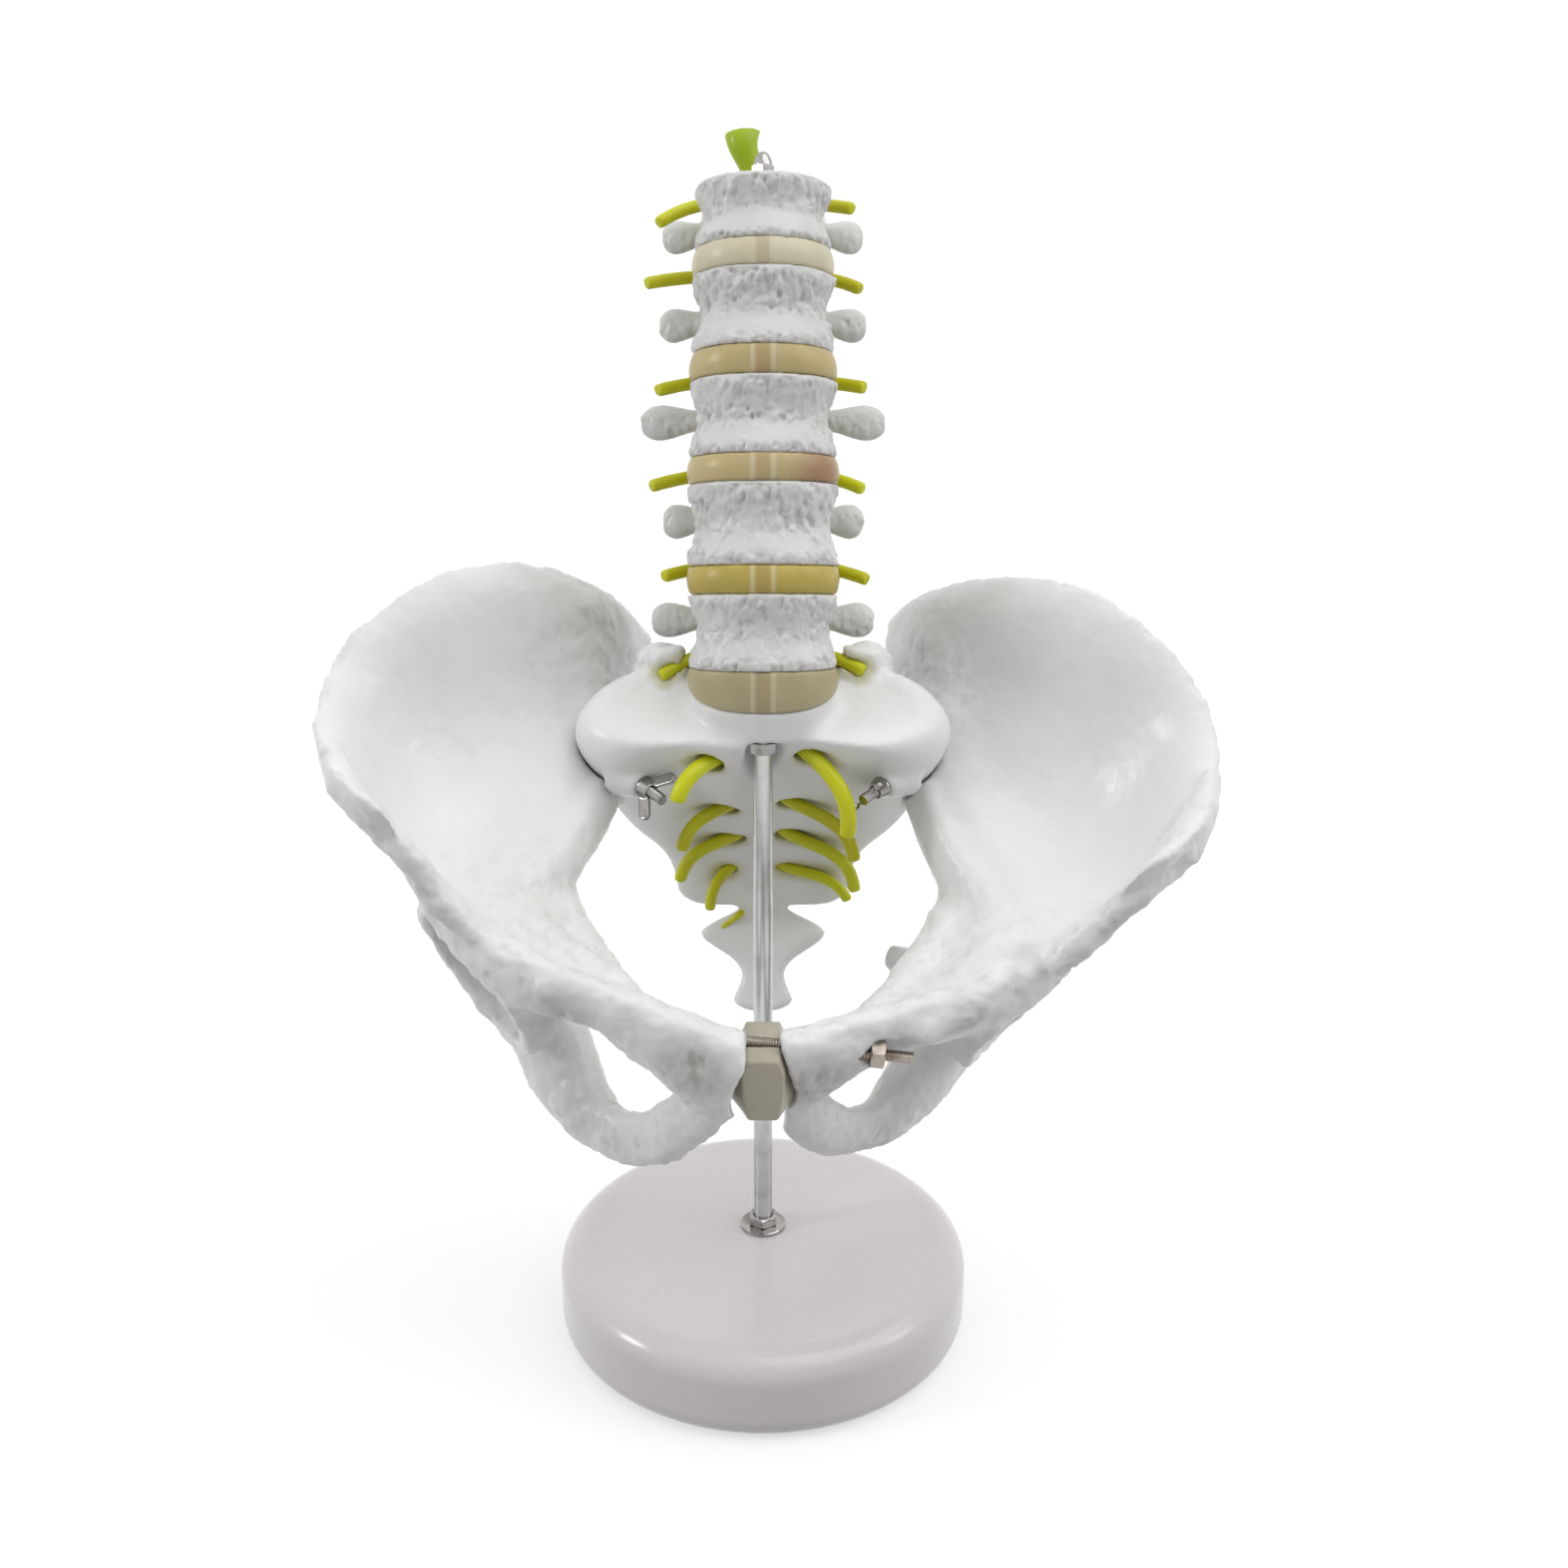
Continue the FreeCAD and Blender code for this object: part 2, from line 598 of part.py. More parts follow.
def nerve_trunk(extra):
    """Cord and nerve bundle, from the stump down to the last sacral holes."""
    radius = size("cord_radius")
    stump = on_plane(over[1], -2.5, size("body_depth", 1) + CANAL_BACK * 0.4, size("cord_stump"))
    rings = [(stump, radius * 1.25), ((stump + on_plane(over[1], 0, size("body_depth", 1) + 7.5)) * 0.5,
                                      radius * 0.95)]
    for level in (1, 2, 3, 4, 5):
        for plane in (over[level], under[level]):
            centre = on_plane(plane, 0, size("body_depth", level) + CANAL_BACK * 0.5)
            rings.append((centre, radius))
    for place, share, wide, thick, bundle in CANAL_STATIONS:
        rings.append((canal_middle(place, share), bundle))
    rings[-1] = (canal_middle(5.67, 0.58), rings[-1][1])
    stations = [(centre, ring + extra, ring * 0.8 + extra) for centre, ring in rings]
    return limb(stations, Vector(1, 0, 0))


def nerve_tree():
    """Trunk and all its roots, moulded in one soft piece."""
    pieces = [nerve_trunk(0.0)]
    for points in root_arcs():
        pieces.append(nerve_pipe(points, size("root_radius")))
    for points, nerve_radius, clearance in sacral_arcs():
        pieces.append(nerve_pipe(points, nerve_radius))
    return fuse(pieces)


# Hip bone, modelled on the +X side and mirrored by its side value.
# Ribs of the iliac wing: (root), (crest), hollow, half thickness at root,
# middle and crest.
WING_RIBS = [
    ((95.0, -55.0, 140.0), (121.0, -67.0, 186.0), 0.5, 7.5, 4.5, 5.5),
    ((89.0, -44.0, 140.0), (134.0, -51.0, 192.0), 4.0, 8.5, 4.0, 6.5),
    ((82.0, -28.0, 142.0), (143.5, -18.0, 200.0), 8.0, 9.0, 3.4, 6.0),
    ((75.0, -14.0, 146.0), (139.0, 2.0, 214.0), 9.0, 9.0, 3.0, 5.0),
    ((69.0, -2.0, 151.0), (121.0, 18.0, 229.0), 8.0, 9.0, 3.0, 5.0),
    ((63.0, 9.0, 157.0), (99.0, 32.0, 236.0), 6.0, 8.5, 3.4, 5.0),
    ((58.0, 22.0, 163.0), (77.0, 45.0, 232.0), 3.0, 8.5, 5.0, 5.5),
    ((53.0, 38.0, 168.0), (58.0, 66.0, 218.0), 0.0, 8.0, 7.0, 6.0),
    ((48.0, 56.0, 166.0), (45.0, 86.0, 198.0), 0.0, 7.5, 7.5, 6.0),
]
WING_INWARD = Vector(-0.50, -0.52, 0.63)


def wing_rib(root, crest, hollow, half_root, half_middle, half_crest):
    root = Vector(root)
    crest = Vector(crest)
    along = (crest - root).normalize()
    inward = (WING_INWARD - along * WING_INWARD.dot(along)).normalize()
    run = (crest - root).Length
    outline = [(0.04, half_root), (0.30, half_middle + half_root * 0.12), (0.62, half_middle),
               (0.92, half_crest)]
    sole = root - along * (half_root * 0.8)
    brow = crest + along * (half_crest * 0.5)
    faces = []
    for turn_side in (1, -1):
        face = [sole]
        for share, half in outline:
            dip = -hollow * math.sin(math.pi * share)
            face.append(root + along * (run * share) + inward * (dip + half * turn_side))
        faces.append(face + [brow])
    curves = []
    for face in (faces[0], faces[1][::-1]):
        curve = Part.BSplineCurve()
        curve.interpolate(face)
        curves.append(curve.toShape())
    return Part.Wire(curves)


SOCKET_CENTRE = (88.0, -36.0, 119.0)
SOCKET_AXIS = (0.74, -0.46, -0.49)
SOCKET_RADIUS = 25.5
SOCKET_WALL = 5.5


def hip_bone():
    """The hip bone of the +X side before it is placed and seated."""
    shapes = [loft([wing_rib(*rib) for rib in WING_RIBS])]

    def branch(stations, wide):
        return limb([(Vector(point), a, b) for point, a, b in stations], Vector(wide))

    shapes.append(branch([((88, -38, 130), 15, 13), ((76, -18, 140), 14, 10), ((65, 2, 150), 13, 9),
                          ((58, 20, 161), 13, 9), ((52, 38, 166), 12, 8)], (-0.3, 0.0, 1.0)))
    shapes.append(branch([((96, -46, 136), 10, 9), ((78, -60, 132), 12, 8), ((58, -67, 127), 10.5, 7),
                          ((38, -71, 122), 11, 7.5), ((22, -74, 114), 15, 9), ((3, -74, 107), 19, 10)],
                         (0.0, -0.35, 1.0)))
    shapes.append(branch([((75, 4, 138), 11, 7), ((64, -20, 130), 13, 8), ((52, -42, 122), 13, 8),
                          ((38, -60, 116), 12, 8), ((24, -70, 112), 11, 8)], (0.0, -0.3, 1.0)))
    shapes.append(branch([((84, -24, 116), 13, 16), ((74, -11, 97), 12, 15.5), ((65, -13, 80), 12, 16.5),
                          ((55.5, -23, 68), 10.5, 15), ((42, -37.5, 63.5), 6.5, 12), ((28, -53, 72), 5.5, 10),
                          ((17, -65, 88), 6, 9.5), ((8, -71, 104), 7, 10)], (-0.59, 0.73, 0.34)))
    shapes.append(branch([((70, -6, 98), 15, 7), ((58, 3, 102), 9, 5), ((47, 9, 104), 4.0, 2.2)],
                         (0.0, 0.3, 1.0)))
    centre = Vector(SOCKET_CENTRE)
    axis = Vector(SOCKET_AXIS).normalize()
    ball = Part.makeSphere(SOCKET_RADIUS + SOCKET_WALL, centre)
    lid = Part.makeCylinder(60, 60, centre + axis * 5.0, axis)
    shapes.append(ball.cut(lid))
    bone = fuse(shapes)
    cup = Part.makeSphere(SOCKET_RADIUS, centre)
    mouth = Part.makeCone(SOCKET_RADIUS * 0.98, SOCKET_RADIUS * 1.5, 40, centre + axis * 3.0, axis)
    return bone.cut(cup).cut(mouth)


PIVOT = Vector(0, -70, 140)


def posed(shape, side):
    """The two hip bones sit a few degrees out of line with each other."""
    shape = shape.copy() if side > 0 else mirrored(shape)
    shape.rotate(PIVOT, Vector(0, 1, 0), size("hip_roll"))
    shape.rotate(PIVOT, Vector(1, 0, 0), size("hip_pitch") * side)
    shape.translate(Vector(0, 1.5, -1.0) * (size("hip_step") * side) - Vector(size("hip_sideways"), 0, 0))
    return shape


# Ways for the hardware through the bones: a clear hole, and a flat seat where
# a nut or a head bears on a sloping face
WING_WAY = Vector(-0.66, -0.72, -0.20).normalize()
WING_SEAT = Vector(42.0, 6.2, 172.5) + WING_WAY * size("wing_pad_height")
slope = math.radians(size("pubic_bolt_slope"))
bolt_way = Vector(math.cos(slope), 0, -math.sin(slope))
bolt_middle = Vector(0, size("pubic_bolt_y"), size("pubic_bolt_level"))


def bolt_point(across):
    return bolt_middle + bolt_way * (across / bolt_way.x)


def hole(radius, start, way, length):
    return Part.makeCylinder(radius, length, start, way)


def screw_ways():
    """Hole and front seat of the wing screw of the +X side."""
    radius = size("wing_screw_radius") + size("bore_gap")
    through = hole(radius, WING_SEAT + WING_WAY * 20.0, WING_WAY * -1.0, 90.0)
    hub = size("wing_hub_radius")
    seat = Part.makeCone(hub + 1.0, hub + 13.0, 12.0, WING_SEAT, WING_WAY)
    return through.fuse(seat)


def seat_pad(extra):
    """Raised pad on the sacrum that the wing nut bears on."""
    top = size("wing_hub_radius") + 1.0 + extra
    return Part.makeCone(top + 4.5, top, 11.0, WING_SEAT - WING_WAY * 11.0, WING_WAY)


# Outline of the symphysis disc from top to bottom: (level, half width at the
# bones, half width of its front face)
SYMPHYSIS_OUTLINE = [
    (117.5, 5.5, 5.0),
    (111.5, 8.0, 6.6),
    (102.0, 10.8, 6.2),
    (97.0, 10.0, 5.4),
    (93.0, 7.0, 4.6),
]


def symphysis_wire(y, column, shrink=0.0):
    """The disc's outline in an upright plane, closed through both sides."""
    middle = (SYMPHYSIS_OUTLINE[0][0] + SYMPHYSIS_OUTLINE[-1][0]) / 2.0
    rows = [(station[0] + (middle - station[0]) * shrink, station[column]) for station in SYMPHYSIS_OUTLINE]
    points = [Vector(half, y, level) for level, half in rows]
    points = points + [Vector(-half, y, level) for level, half in rows[::-1]]
    return Part.makePolygon(points + points[:1])


def symphysis_disc():
    """Block between the pubic bones that narrows to a smaller front face."""
    y = size("symphysis_y")
    wires = [symphysis_wire(y + size("symphysis_back"), 1), symphysis_wire(y, 1),
             symphysis_wire(y - size("symphysis_front"), 2, 0.13)]
    return Part.makeLoft(wires, True, True, False)


def symphysis_gap():
    """The room for the disc, carried on above and below it."""
    (top, top_half, _), (bottom, bottom_half, _) = SYMPHYSIS_OUTLINE[0], SYMPHYSIS_OUTLINE[-1]
    rows = [(top + 40.0, top_half)] + [station[:2] for station in SYMPHYSIS_OUTLINE]
    rows.append((bottom - 60.0, bottom_half))
    points = [Vector(half, -120, level) for level, half in rows]
    points = points + [Vector(-half, -120, level) for level, half in rows[::-1]]
    return Part.Face(Part.makePolygon(points + points[:1])).extrude(Vector(0, 90, 0))


wing_ways = [screw_ways()]
wing_ways.append(mirrored(wing_ways[0]))
cap_ways = []
for side in (1, -1):
    cap_start = WING_SEAT - WING_WAY * size("wing_screw_grip")
    pocket_end = hole(size("wing_cap_radius") + size("piece_gap"), cap_start, WING_WAY * -1.0, 40.0)
    cap_ways.append(pocket_end if side > 0 else mirrored(pocket_end))
bolt_hole = hole(size("pubic_bolt_radius") + size("bore_gap"), bolt_point(-80.0), bolt_way, 160.0)
seat_radius = size("pubic_nut_flats") / math.sqrt(3.0) + size("piece_gap")
nut_pocket = hole(seat_radius, bolt_point(size("pubic_nut_x")), bolt_way, 30.0)
head_pocket = hole(seat_radius, bolt_point(size("pubic_bolt_head_x")), bolt_way * -1.0, 30.0)

print("making the sacrum")
sacrum = sacrum_form(0.0)
plate_low = on_plane(front, 0, 0, -12.0)
boss = loft([kidney((plate_low.y, plate_low.z, front[2]), size("sacrum_plate_width") * 0.9,
                    size("sacrum_plate_depth"), 0.0),
             kidney(front, size("sacrum_plate_width"), size("sacrum_plate_depth"), 0.3)])
tail = loft([spade(TAIL_STATIONS, index, 0.0) for index in range(len(TAIL_STATIONS))])
foot = on_plane(front, 28.0, size("sacrum_plate_depth") - 3.0, -22.0)
tip = on_plane(front, 33.0, size("sacrum_plate_depth") + 3.0, 8.0)
horn = limb([(foot, 10.0, 8.0), ((foot + tip) * 0.5, 9.0, 6.5), (tip, 6.5, 4.0)], Vector(1, 0, 0))
horns = [horn, mirrored(horn)]
pad = seat_pad(0.0)
sacrum = fuse([sacrum, boss, tail, pad, mirrored(pad)] + horns)
sacrum = sacrum.cut(canal_in_sacrum()).cut(nerve_trunk(2.0 * size("piece_gap")))
for points, nerve_radius, clearance in sacral_arcs():
    sacrum = sacrum.cut(nerve_pipe(points, nerve_radius + clearance))
sacrum = sacrum.cut(core_hole)
upright = Vector(0, 0, 1)
rod_way = hole(size("rod_radius") + size("bore_gap"), Vector(0, 0, 0), upright, size("rod_height"))
nut_room = hole(size("top_nut_flats") * 0.75, Vector(0, 0, size("top_nut_level") - 60.0), upright, 60.0)
for way in [rod_way, nut_room] + wing_ways:
    sacrum = sacrum.cut(way)
for points in root_arcs()[-2:]:
    sacrum = sacrum.cut(nerve_pipe(points, size("root_radius") + size("piece_gap")))
feature("sacrum", sacrum, STAND)

print("making the spine")
for level in (1, 2, 3, 4, 5):
    solid = fuse([lumbar_body(level), lumbar_arch(level)])
    solid = solid.cut(canal_solid(under[level], over[level], size("body_depth", level)))
    solid = solid.cut(core_hole)
    for points in root_arcs()[2 * level - 2:2 * level + 2]:
        solid = solid.cut(nerve_pipe(points, size("root_radius") + size("piece_gap")))
    feature("lumbar_%d" % level, solid, STAND)
for level in (1, 2, 3, 4, 5):
    if level == 5:
        low, low_sizes = front, (size("sacrum_plate_width"), size("sacrum_plate_depth"))
    else:
        low, low_sizes = over[level + 1], (size("body_width", level + 1), size("body_depth", level + 1))
    high_sizes = (size("body_width", level), size("body_depth", level))
    feature("disc_%d" % level, disc(level, low, under[level], low_sizes, high_sizes), STAND)
feature("core_rod", core_pipe(size("core_radius")), STAND)
feature("spinal_nerves", nerve_tree(), STAND)

print("making the hip bones")
socket_for_sacrum = sacrum_form(size("piece_gap"))
pad_clearance = seat_pad(size("piece_gap"))
half_pelvis = hip_bone()
for side, label in ((-1, "hip_bone_left"), (1, "hip_bone_right")):
    bone = posed(half_pelvis, side)
    ways = wing_ways + cap_ways + [bolt_hole, nut_pocket, head_pocket]
    ways.append(pad_clearance if side > 0 else mirrored(pad_clearance))
    ways.append(Part.makeBox(200, 400, 400, Vector(-200 if side > 0 else 0, -200, -100)))
    for way in [socket_for_sacrum, symphysis_gap()] + ways:
        bone = bone.cut(way)
    feature(label, bone, STAND)

feature("symphysis_disc", symphysis_disc().cut(bolt_hole), STAND)

# Bolt through both pubic bones and the disc, with its nut
bolt_start = bolt_point(size("pubic_bolt_head_x"))
bolt_end = bolt_point(size("pubic_bolt_end_x"))
nut_start = bolt_point(size("pubic_nut_x"))
bolt_length = (bolt_end - bolt_start).Length
shank = Part.makeCylinder(size("pubic_bolt_radius"), bolt_length, bolt_start, bolt_way)
head = prism(size("pubic_nut_flats"), size("pubic_nut_height"),
             bolt_start - bolt_way * size("pubic_nut_height"), bolt_way)
feature("pubic_bolt", head.fuse(shank), STAND)
nut = prism(size("pubic_nut_flats"), size("pubic_nut_height"), nut_start, bolt_way)
feature("pubic_nut", nut.cut(bolt_hole), STAND)


# Screws with wing nuts that hold the hip bones to the sacrum
def wing_screw():
    """Threaded screw with a round cap, running through both bones."""
    tip = WING_SEAT + WING_WAY * (size("wing_hub_height") + size("wing_screw_tip"))
    length = size("wing_screw_grip") + size("wing_hub_height") + size("wing_screw_tip")
    shaft = Part.makeCylinder(size("wing_screw_radius"), length, tip, WING_WAY * -1.0)
    cap = Part.makeCylinder(size("wing_cap_radius"), size("wing_cap_height"),
                            WING_SEAT - WING_WAY * size("wing_screw_grip"), WING_WAY * -1.0)
    return shaft.fuse(cap)


def wing_nut(ear_way):
    """Hub with two rounded ears that spread forwards, bored for its screw."""
    hub = Part.makeCone(size("wing_hub_radius"), size("wing_hub_radius") * 0.8, size("wing_hub_height"))
    thickness = size("wing_ear_thickness")
    half = size("wing_ear_width") / 2.0
    length = size("wing_ear_length")
    ears = []
    for side in (-1, 1):
        ear = Part.makeBox(length, thickness, 2.0 * half, Vector(0, -thickness / 2.0, -half))
        ear = ear.fuse(Part.makeCylinder(half, thickness, Vector(length, -thickness / 2.0, 0), Vector(0, 1, 0)))
        ear.rotate(Vector(0, 0, 0), Vector(0, 1, 0), -size("wing_ear_rise"))
        if side < 0:
            ear.rotate(Vector(0, 0, 0), Vector(0, 0, 1), 180.0)
        ear.translate(Vector(side * size("wing_hub_radius") * 0.55, 0, size("wing_hub_height") * 0.55))
        ears.append(ear)
    floor = Part.makeBox(60, 60, 30, Vector(-30, -30, -30))
    whole = fuse([hub] + ears).cut(floor)
    whole = whole.cut(Part.makeCylinder(size("wing_screw_radius") + size("bore_gap"), 40, Vector(0, 0, -10)))
    across = WING_WAY.cross(ear_way)
    whole.Placement = FreeCAD.Placement(WING_SEAT, FreeCAD.Rotation(ear_way, across, WING_WAY, "ZXY"))
    return whole


# The two nuts were tightened to different turns: ear direction of each
EAR_WAYS = {"left": Vector(-0.58, 0.33, 0.75), "right": Vector(0.39, -0.56, 0.73)}
for side, label in ((-1, "left"), (1, "right")):
    nut = wing_nut(EAR_WAYS[label])
    screw = wing_screw()
    if side < 0:
        nut = mirrored(nut)
        screw = mirrored(screw)
    feature("wing_nut_" + label, nut, STAND)
    feature("wing_screw_" + label, screw, STAND)


# Cap nut on the core rod, on top of the uppermost body
plane = over[1]
cap_seat = on_plane(plane, 0, size("body_depth", 1) * CORE_SHARE)
cap_way = (on_plane(plane, 0, 0, 1.0) - on_plane(plane, 0, 0)).normalize()
cap = prism(size("cap_nut_flats"), size("cap_nut_height"), cap_seat, cap_way)
neck = Part.makeCylinder(size("cap_dome_radius"), size("cap_dome_height") - size("cap_dome_radius"),
                         cap_seat, cap_way)
dome = Part.makeSphere(size("cap_dome_radius"),
                       cap_seat + cap_way * (size("cap_dome_height") - size("cap_dome_radius")))
cap = fuse([cap, neck, dome])
feature("cap_nut", cap.cut(core_hole), STAND)

# Report and write
doc.recompute()
faults = []
for item in doc.Objects:
    if "Invalid" in item.State or "Error" in item.State:
        faults.append(item.Name + " " + str(item.State))
for item in nodes:
    shape = item.Shape
    if shape.isNull() or not shape.isValid():
        faults.append(item.Label + " shape")
    print("%-18s solids %d volume %.0f faces %d box %s" % (
        item.Label, len(shape.Solids), shape.Volume, len(shape.Faces), shape.BoundBox))
if faults:
    raise RuntimeError("faults: " + ", ".join(faults))
for item in nodes:
    item.Shape.exportStep("parts/%s.step" % item.Label)
print(len(nodes), "sub-parts written")
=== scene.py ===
# %% [markdown]
# # Pelvis skeleton model on a round base
# A ward teaching model: two hip bones, a sacrum and five lumbar vertebrae in
# cast plastic, with rubber discs and nerves, carried by a rod on a round base.
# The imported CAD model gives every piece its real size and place. This script
# gives the pieces their skin, finish, threads and light, in metres.

# %% Load the fixed frame
import bpy
import bmesh
import math
import numpy as np
from mathutils import Matrix, Vector
from mathutils.kdtree import KDTree


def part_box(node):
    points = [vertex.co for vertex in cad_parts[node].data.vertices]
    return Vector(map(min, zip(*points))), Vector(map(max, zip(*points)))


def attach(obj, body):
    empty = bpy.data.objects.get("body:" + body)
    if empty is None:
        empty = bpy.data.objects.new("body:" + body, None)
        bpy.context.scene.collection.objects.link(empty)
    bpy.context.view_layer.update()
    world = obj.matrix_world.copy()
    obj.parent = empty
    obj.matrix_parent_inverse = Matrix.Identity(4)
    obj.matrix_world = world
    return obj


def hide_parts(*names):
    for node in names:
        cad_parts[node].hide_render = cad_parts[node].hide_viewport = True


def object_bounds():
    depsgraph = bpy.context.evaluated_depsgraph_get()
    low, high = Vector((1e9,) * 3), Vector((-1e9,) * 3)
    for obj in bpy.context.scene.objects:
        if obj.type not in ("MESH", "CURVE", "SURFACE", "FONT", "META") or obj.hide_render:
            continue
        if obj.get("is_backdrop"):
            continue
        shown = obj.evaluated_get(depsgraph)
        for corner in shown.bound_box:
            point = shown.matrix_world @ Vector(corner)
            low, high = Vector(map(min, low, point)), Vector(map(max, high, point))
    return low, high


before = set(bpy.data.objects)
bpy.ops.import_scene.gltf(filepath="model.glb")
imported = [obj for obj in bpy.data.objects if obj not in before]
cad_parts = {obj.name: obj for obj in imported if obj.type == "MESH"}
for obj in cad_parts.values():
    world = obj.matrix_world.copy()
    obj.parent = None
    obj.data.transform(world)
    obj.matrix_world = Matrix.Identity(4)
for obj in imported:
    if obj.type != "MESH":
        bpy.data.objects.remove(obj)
cad_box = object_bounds()
MM = 0.001
print("CAD nodes:", len(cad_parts))

# %% [markdown]
# Nodes of a shader or geometry tree are wired by two small helpers. Reading
# them once makes all the trees below short.

# %% Helpers for node trees


def node(tree, kind, inputs=(), **settings):
    """A new node with its settings, then its input values or links."""
    made = tree.nodes.new(kind)
    for name, value in settings.items():
        setattr(made, name, value)
    for name, value in dict(inputs).items():
        if isinstance(value, bpy.types.NodeSocket):
            tree.links.new(value, made.inputs[name])
        else:
            made.inputs[name].default_value = value
    return made


def maths(tree, operation, *values, clamp=False):
    """One Math node on its values or links, and its output."""
    inputs = dict(enumerate(values))
    return node(tree, "ShaderNodeMath", inputs, operation=operation, use_clamp=clamp).outputs[0]


def ramp(tree, value, low, high, to_low=0.0, to_high=1.0):
    """The value taken smoothly from one range to another."""
    inputs = {"Value": value, "From Min": low, "From Max": high, "To Min": to_low, "To Max": to_high}
    made = node(tree, "ShaderNodeMapRange", inputs, interpolation_type="SMOOTHSTEP")
    return made.outputs["Result"]


def mixed(tree, share, first, second):
    """Two colours mixed by a share."""
    made = node(tree, "ShaderNodeMix", data_type="RGBA", clamp_factor=True)
    for socket, value in ((made.inputs[0], share), (made.inputs[6], first), (made.inputs[7], second)):
        if isinstance(value, bpy.types.NodeSocket):
            tree.links.new(value, socket)
        else:
            socket.default_value = value
    return made.outputs[2]


def new_tree(name, kind, inputs, outputs):
    """A node group with named inputs and outputs."""
    tree = bpy.data.node_groups.new(name, kind)
    for label, socket_type, value in inputs:
        socket = tree.interface.new_socket(label, in_out="INPUT", socket_type=socket_type)
        if value is not None:
            socket.default_value = value
    for label, socket_type in outputs:
        tree.interface.new_socket(label, in_out="OUTPUT", socket_type=socket_type)
    entry = tree.nodes.new("NodeGroupInput")
    leave = tree.nodes.new("NodeGroupOutput")
    return tree, entry.outputs, leave.inputs


FLOAT = "NodeSocketFloat"

# %% [markdown]
# ## Shared surface effects
# Cast plastic is never quite even. One group gives its fine grain and its
# slow change of shade, and one gives the streaks that drawing and polishing
# leave on metal. Both read Object coordinates, so they keep to the piece.

# %% Shader group: cast grain


def cast_grain_group():
    tree, entry, leave = new_tree(
        "Cast Grain", "ShaderNodeTree",
        [("Grain Scale", FLOAT, 600.0), ("Shade Scale", FLOAT, 30.0), ("Upright Stretch", FLOAT, 1.0)],
        [("Height", FLOAT), ("Shade", FLOAT)])
    place = node(tree, "ShaderNodeTexCoord").outputs["Object"]
    squeeze = node(tree, "ShaderNodeCombineXYZ", {"X": 1.0, "Y": 1.0, "Z": entry["Upright Stretch"]})
    place = node(tree, "ShaderNodeVectorMath", {0: place, 1: squeeze.outputs[0]}, operation="MULTIPLY")
    grain = node(tree, "ShaderNodeTexNoise", {"Vector": place.outputs[0], "Scale": entry["Grain Scale"],
                                              "Detail": 4.0, "Roughness": 0.6})
    pits = node(tree, "ShaderNodeTexVoronoi", {"Vector": place.outputs[0], "Scale": entry["Grain Scale"]})
    pits = ramp(tree, pits.outputs["Distance"], 0.05, 0.45)
    shade = node(tree, "ShaderNodeTexNoise", {"Vector": place.outputs[0], "Scale": entry["Shade Scale"],
                                              "Detail": 3.0, "Roughness": 0.55})
    height = maths(tree, "MULTIPLY_ADD", grain.outputs[0], 0.7, maths(tree, "MULTIPLY", pits, 0.3))
    tree.links.new(height, leave["Height"])
    tree.links.new(ramp(tree, shade.outputs[0], 0.3, 0.7), leave["Shade"])
    return tree


cast_grain = cast_grain_group()
print("group", cast_grain.name, "with", len(cast_grain.nodes), "nodes")

# %% Shader group: metal streaks


def metal_streaks_group():
    tree, entry, leave = new_tree(
        "Metal Streaks", "ShaderNodeTree",
        [("Scale", FLOAT, 900.0), ("Along", FLOAT, 0.05), ("Dull", FLOAT, 0.2), ("Bright", FLOAT, 0.35)],
        [("Roughness", FLOAT), ("Tarnish", FLOAT), ("Height", FLOAT)])
    place = node(tree, "ShaderNodeTexCoord").outputs["Object"]
    squeeze = node(tree, "ShaderNodeCombineXYZ", {"X": 1.0, "Y": 1.0, "Z": entry["Along"]})
    drawn = node(tree, "ShaderNodeVectorMath", {0: place, 1: squeeze.outputs[0]}, operation="MULTIPLY")
    streak = node(tree, "ShaderNodeTexNoise", {"Vector": drawn.outputs[0], "Scale": entry["Scale"],
                                               "Detail": 3.0})
    cloud = node(tree, "ShaderNodeTexNoise", {"Vector": place, "Scale": 120.0, "Detail": 2.0})
    spread = maths(tree, "SUBTRACT", entry["Dull"], entry["Bright"])
    rough = maths(tree, "MULTIPLY_ADD", streak.outputs[0], spread, entry["Bright"])
    tree.links.new(rough, leave["Roughness"])
    tree.links.new(ramp(tree, cloud.outputs[0], 0.45, 0.7), leave["Tarnish"])
    tree.links.new(streak.outputs[0], leave["Height"])
    return tree


metal_streaks = metal_streaks_group()
print("group", metal_streaks.name, "with", len(metal_streaks.nodes), "nodes")

# %% [markdown]
# ## Finishes
# Each finish is one Principled shader. What is even over the surface sits on
# its own sockets, and what changes comes from the groups above or from the
# attributes that the sculpting step stores: cavity_shade for fine pits and
# hollow for broad dips, where grey shade is painted into the colour, and
# stain for a yellow tint beside the nerve holes.

# %% Start of every finish


def finish_base(name, **sockets):
    """A material with its Principled shader, set by socket name."""
    material = bpy.data.materials.new(name)
    material.use_nodes = True
    tree = material.node_tree
    shader = tree.nodes["Principled BSDF"]
    for label, value in sockets.items():
        shader.inputs[label.replace("_", " ")].default_value = value
    return material, tree, shader


def cast_skin(tree, grain, shade, stretch):
    """The cast grain group placed in a material."""
    skin = node(tree, "ShaderNodeGroup", node_tree=cast_grain)
    for label, value in (("Grain Scale", grain), ("Shade Scale", shade), ("Upright Stretch", stretch)):
        skin.inputs[label].default_value = value
    return skin


def bump_with(tree, shader, height, depth, strength):
    """Bump the shader by a height."""
    bump = node(tree, "ShaderNodeBump", {"Height": height, "Distance": depth, "Strength": strength})
    tree.links.new(bump.outputs[0], shader.inputs["Normal"])


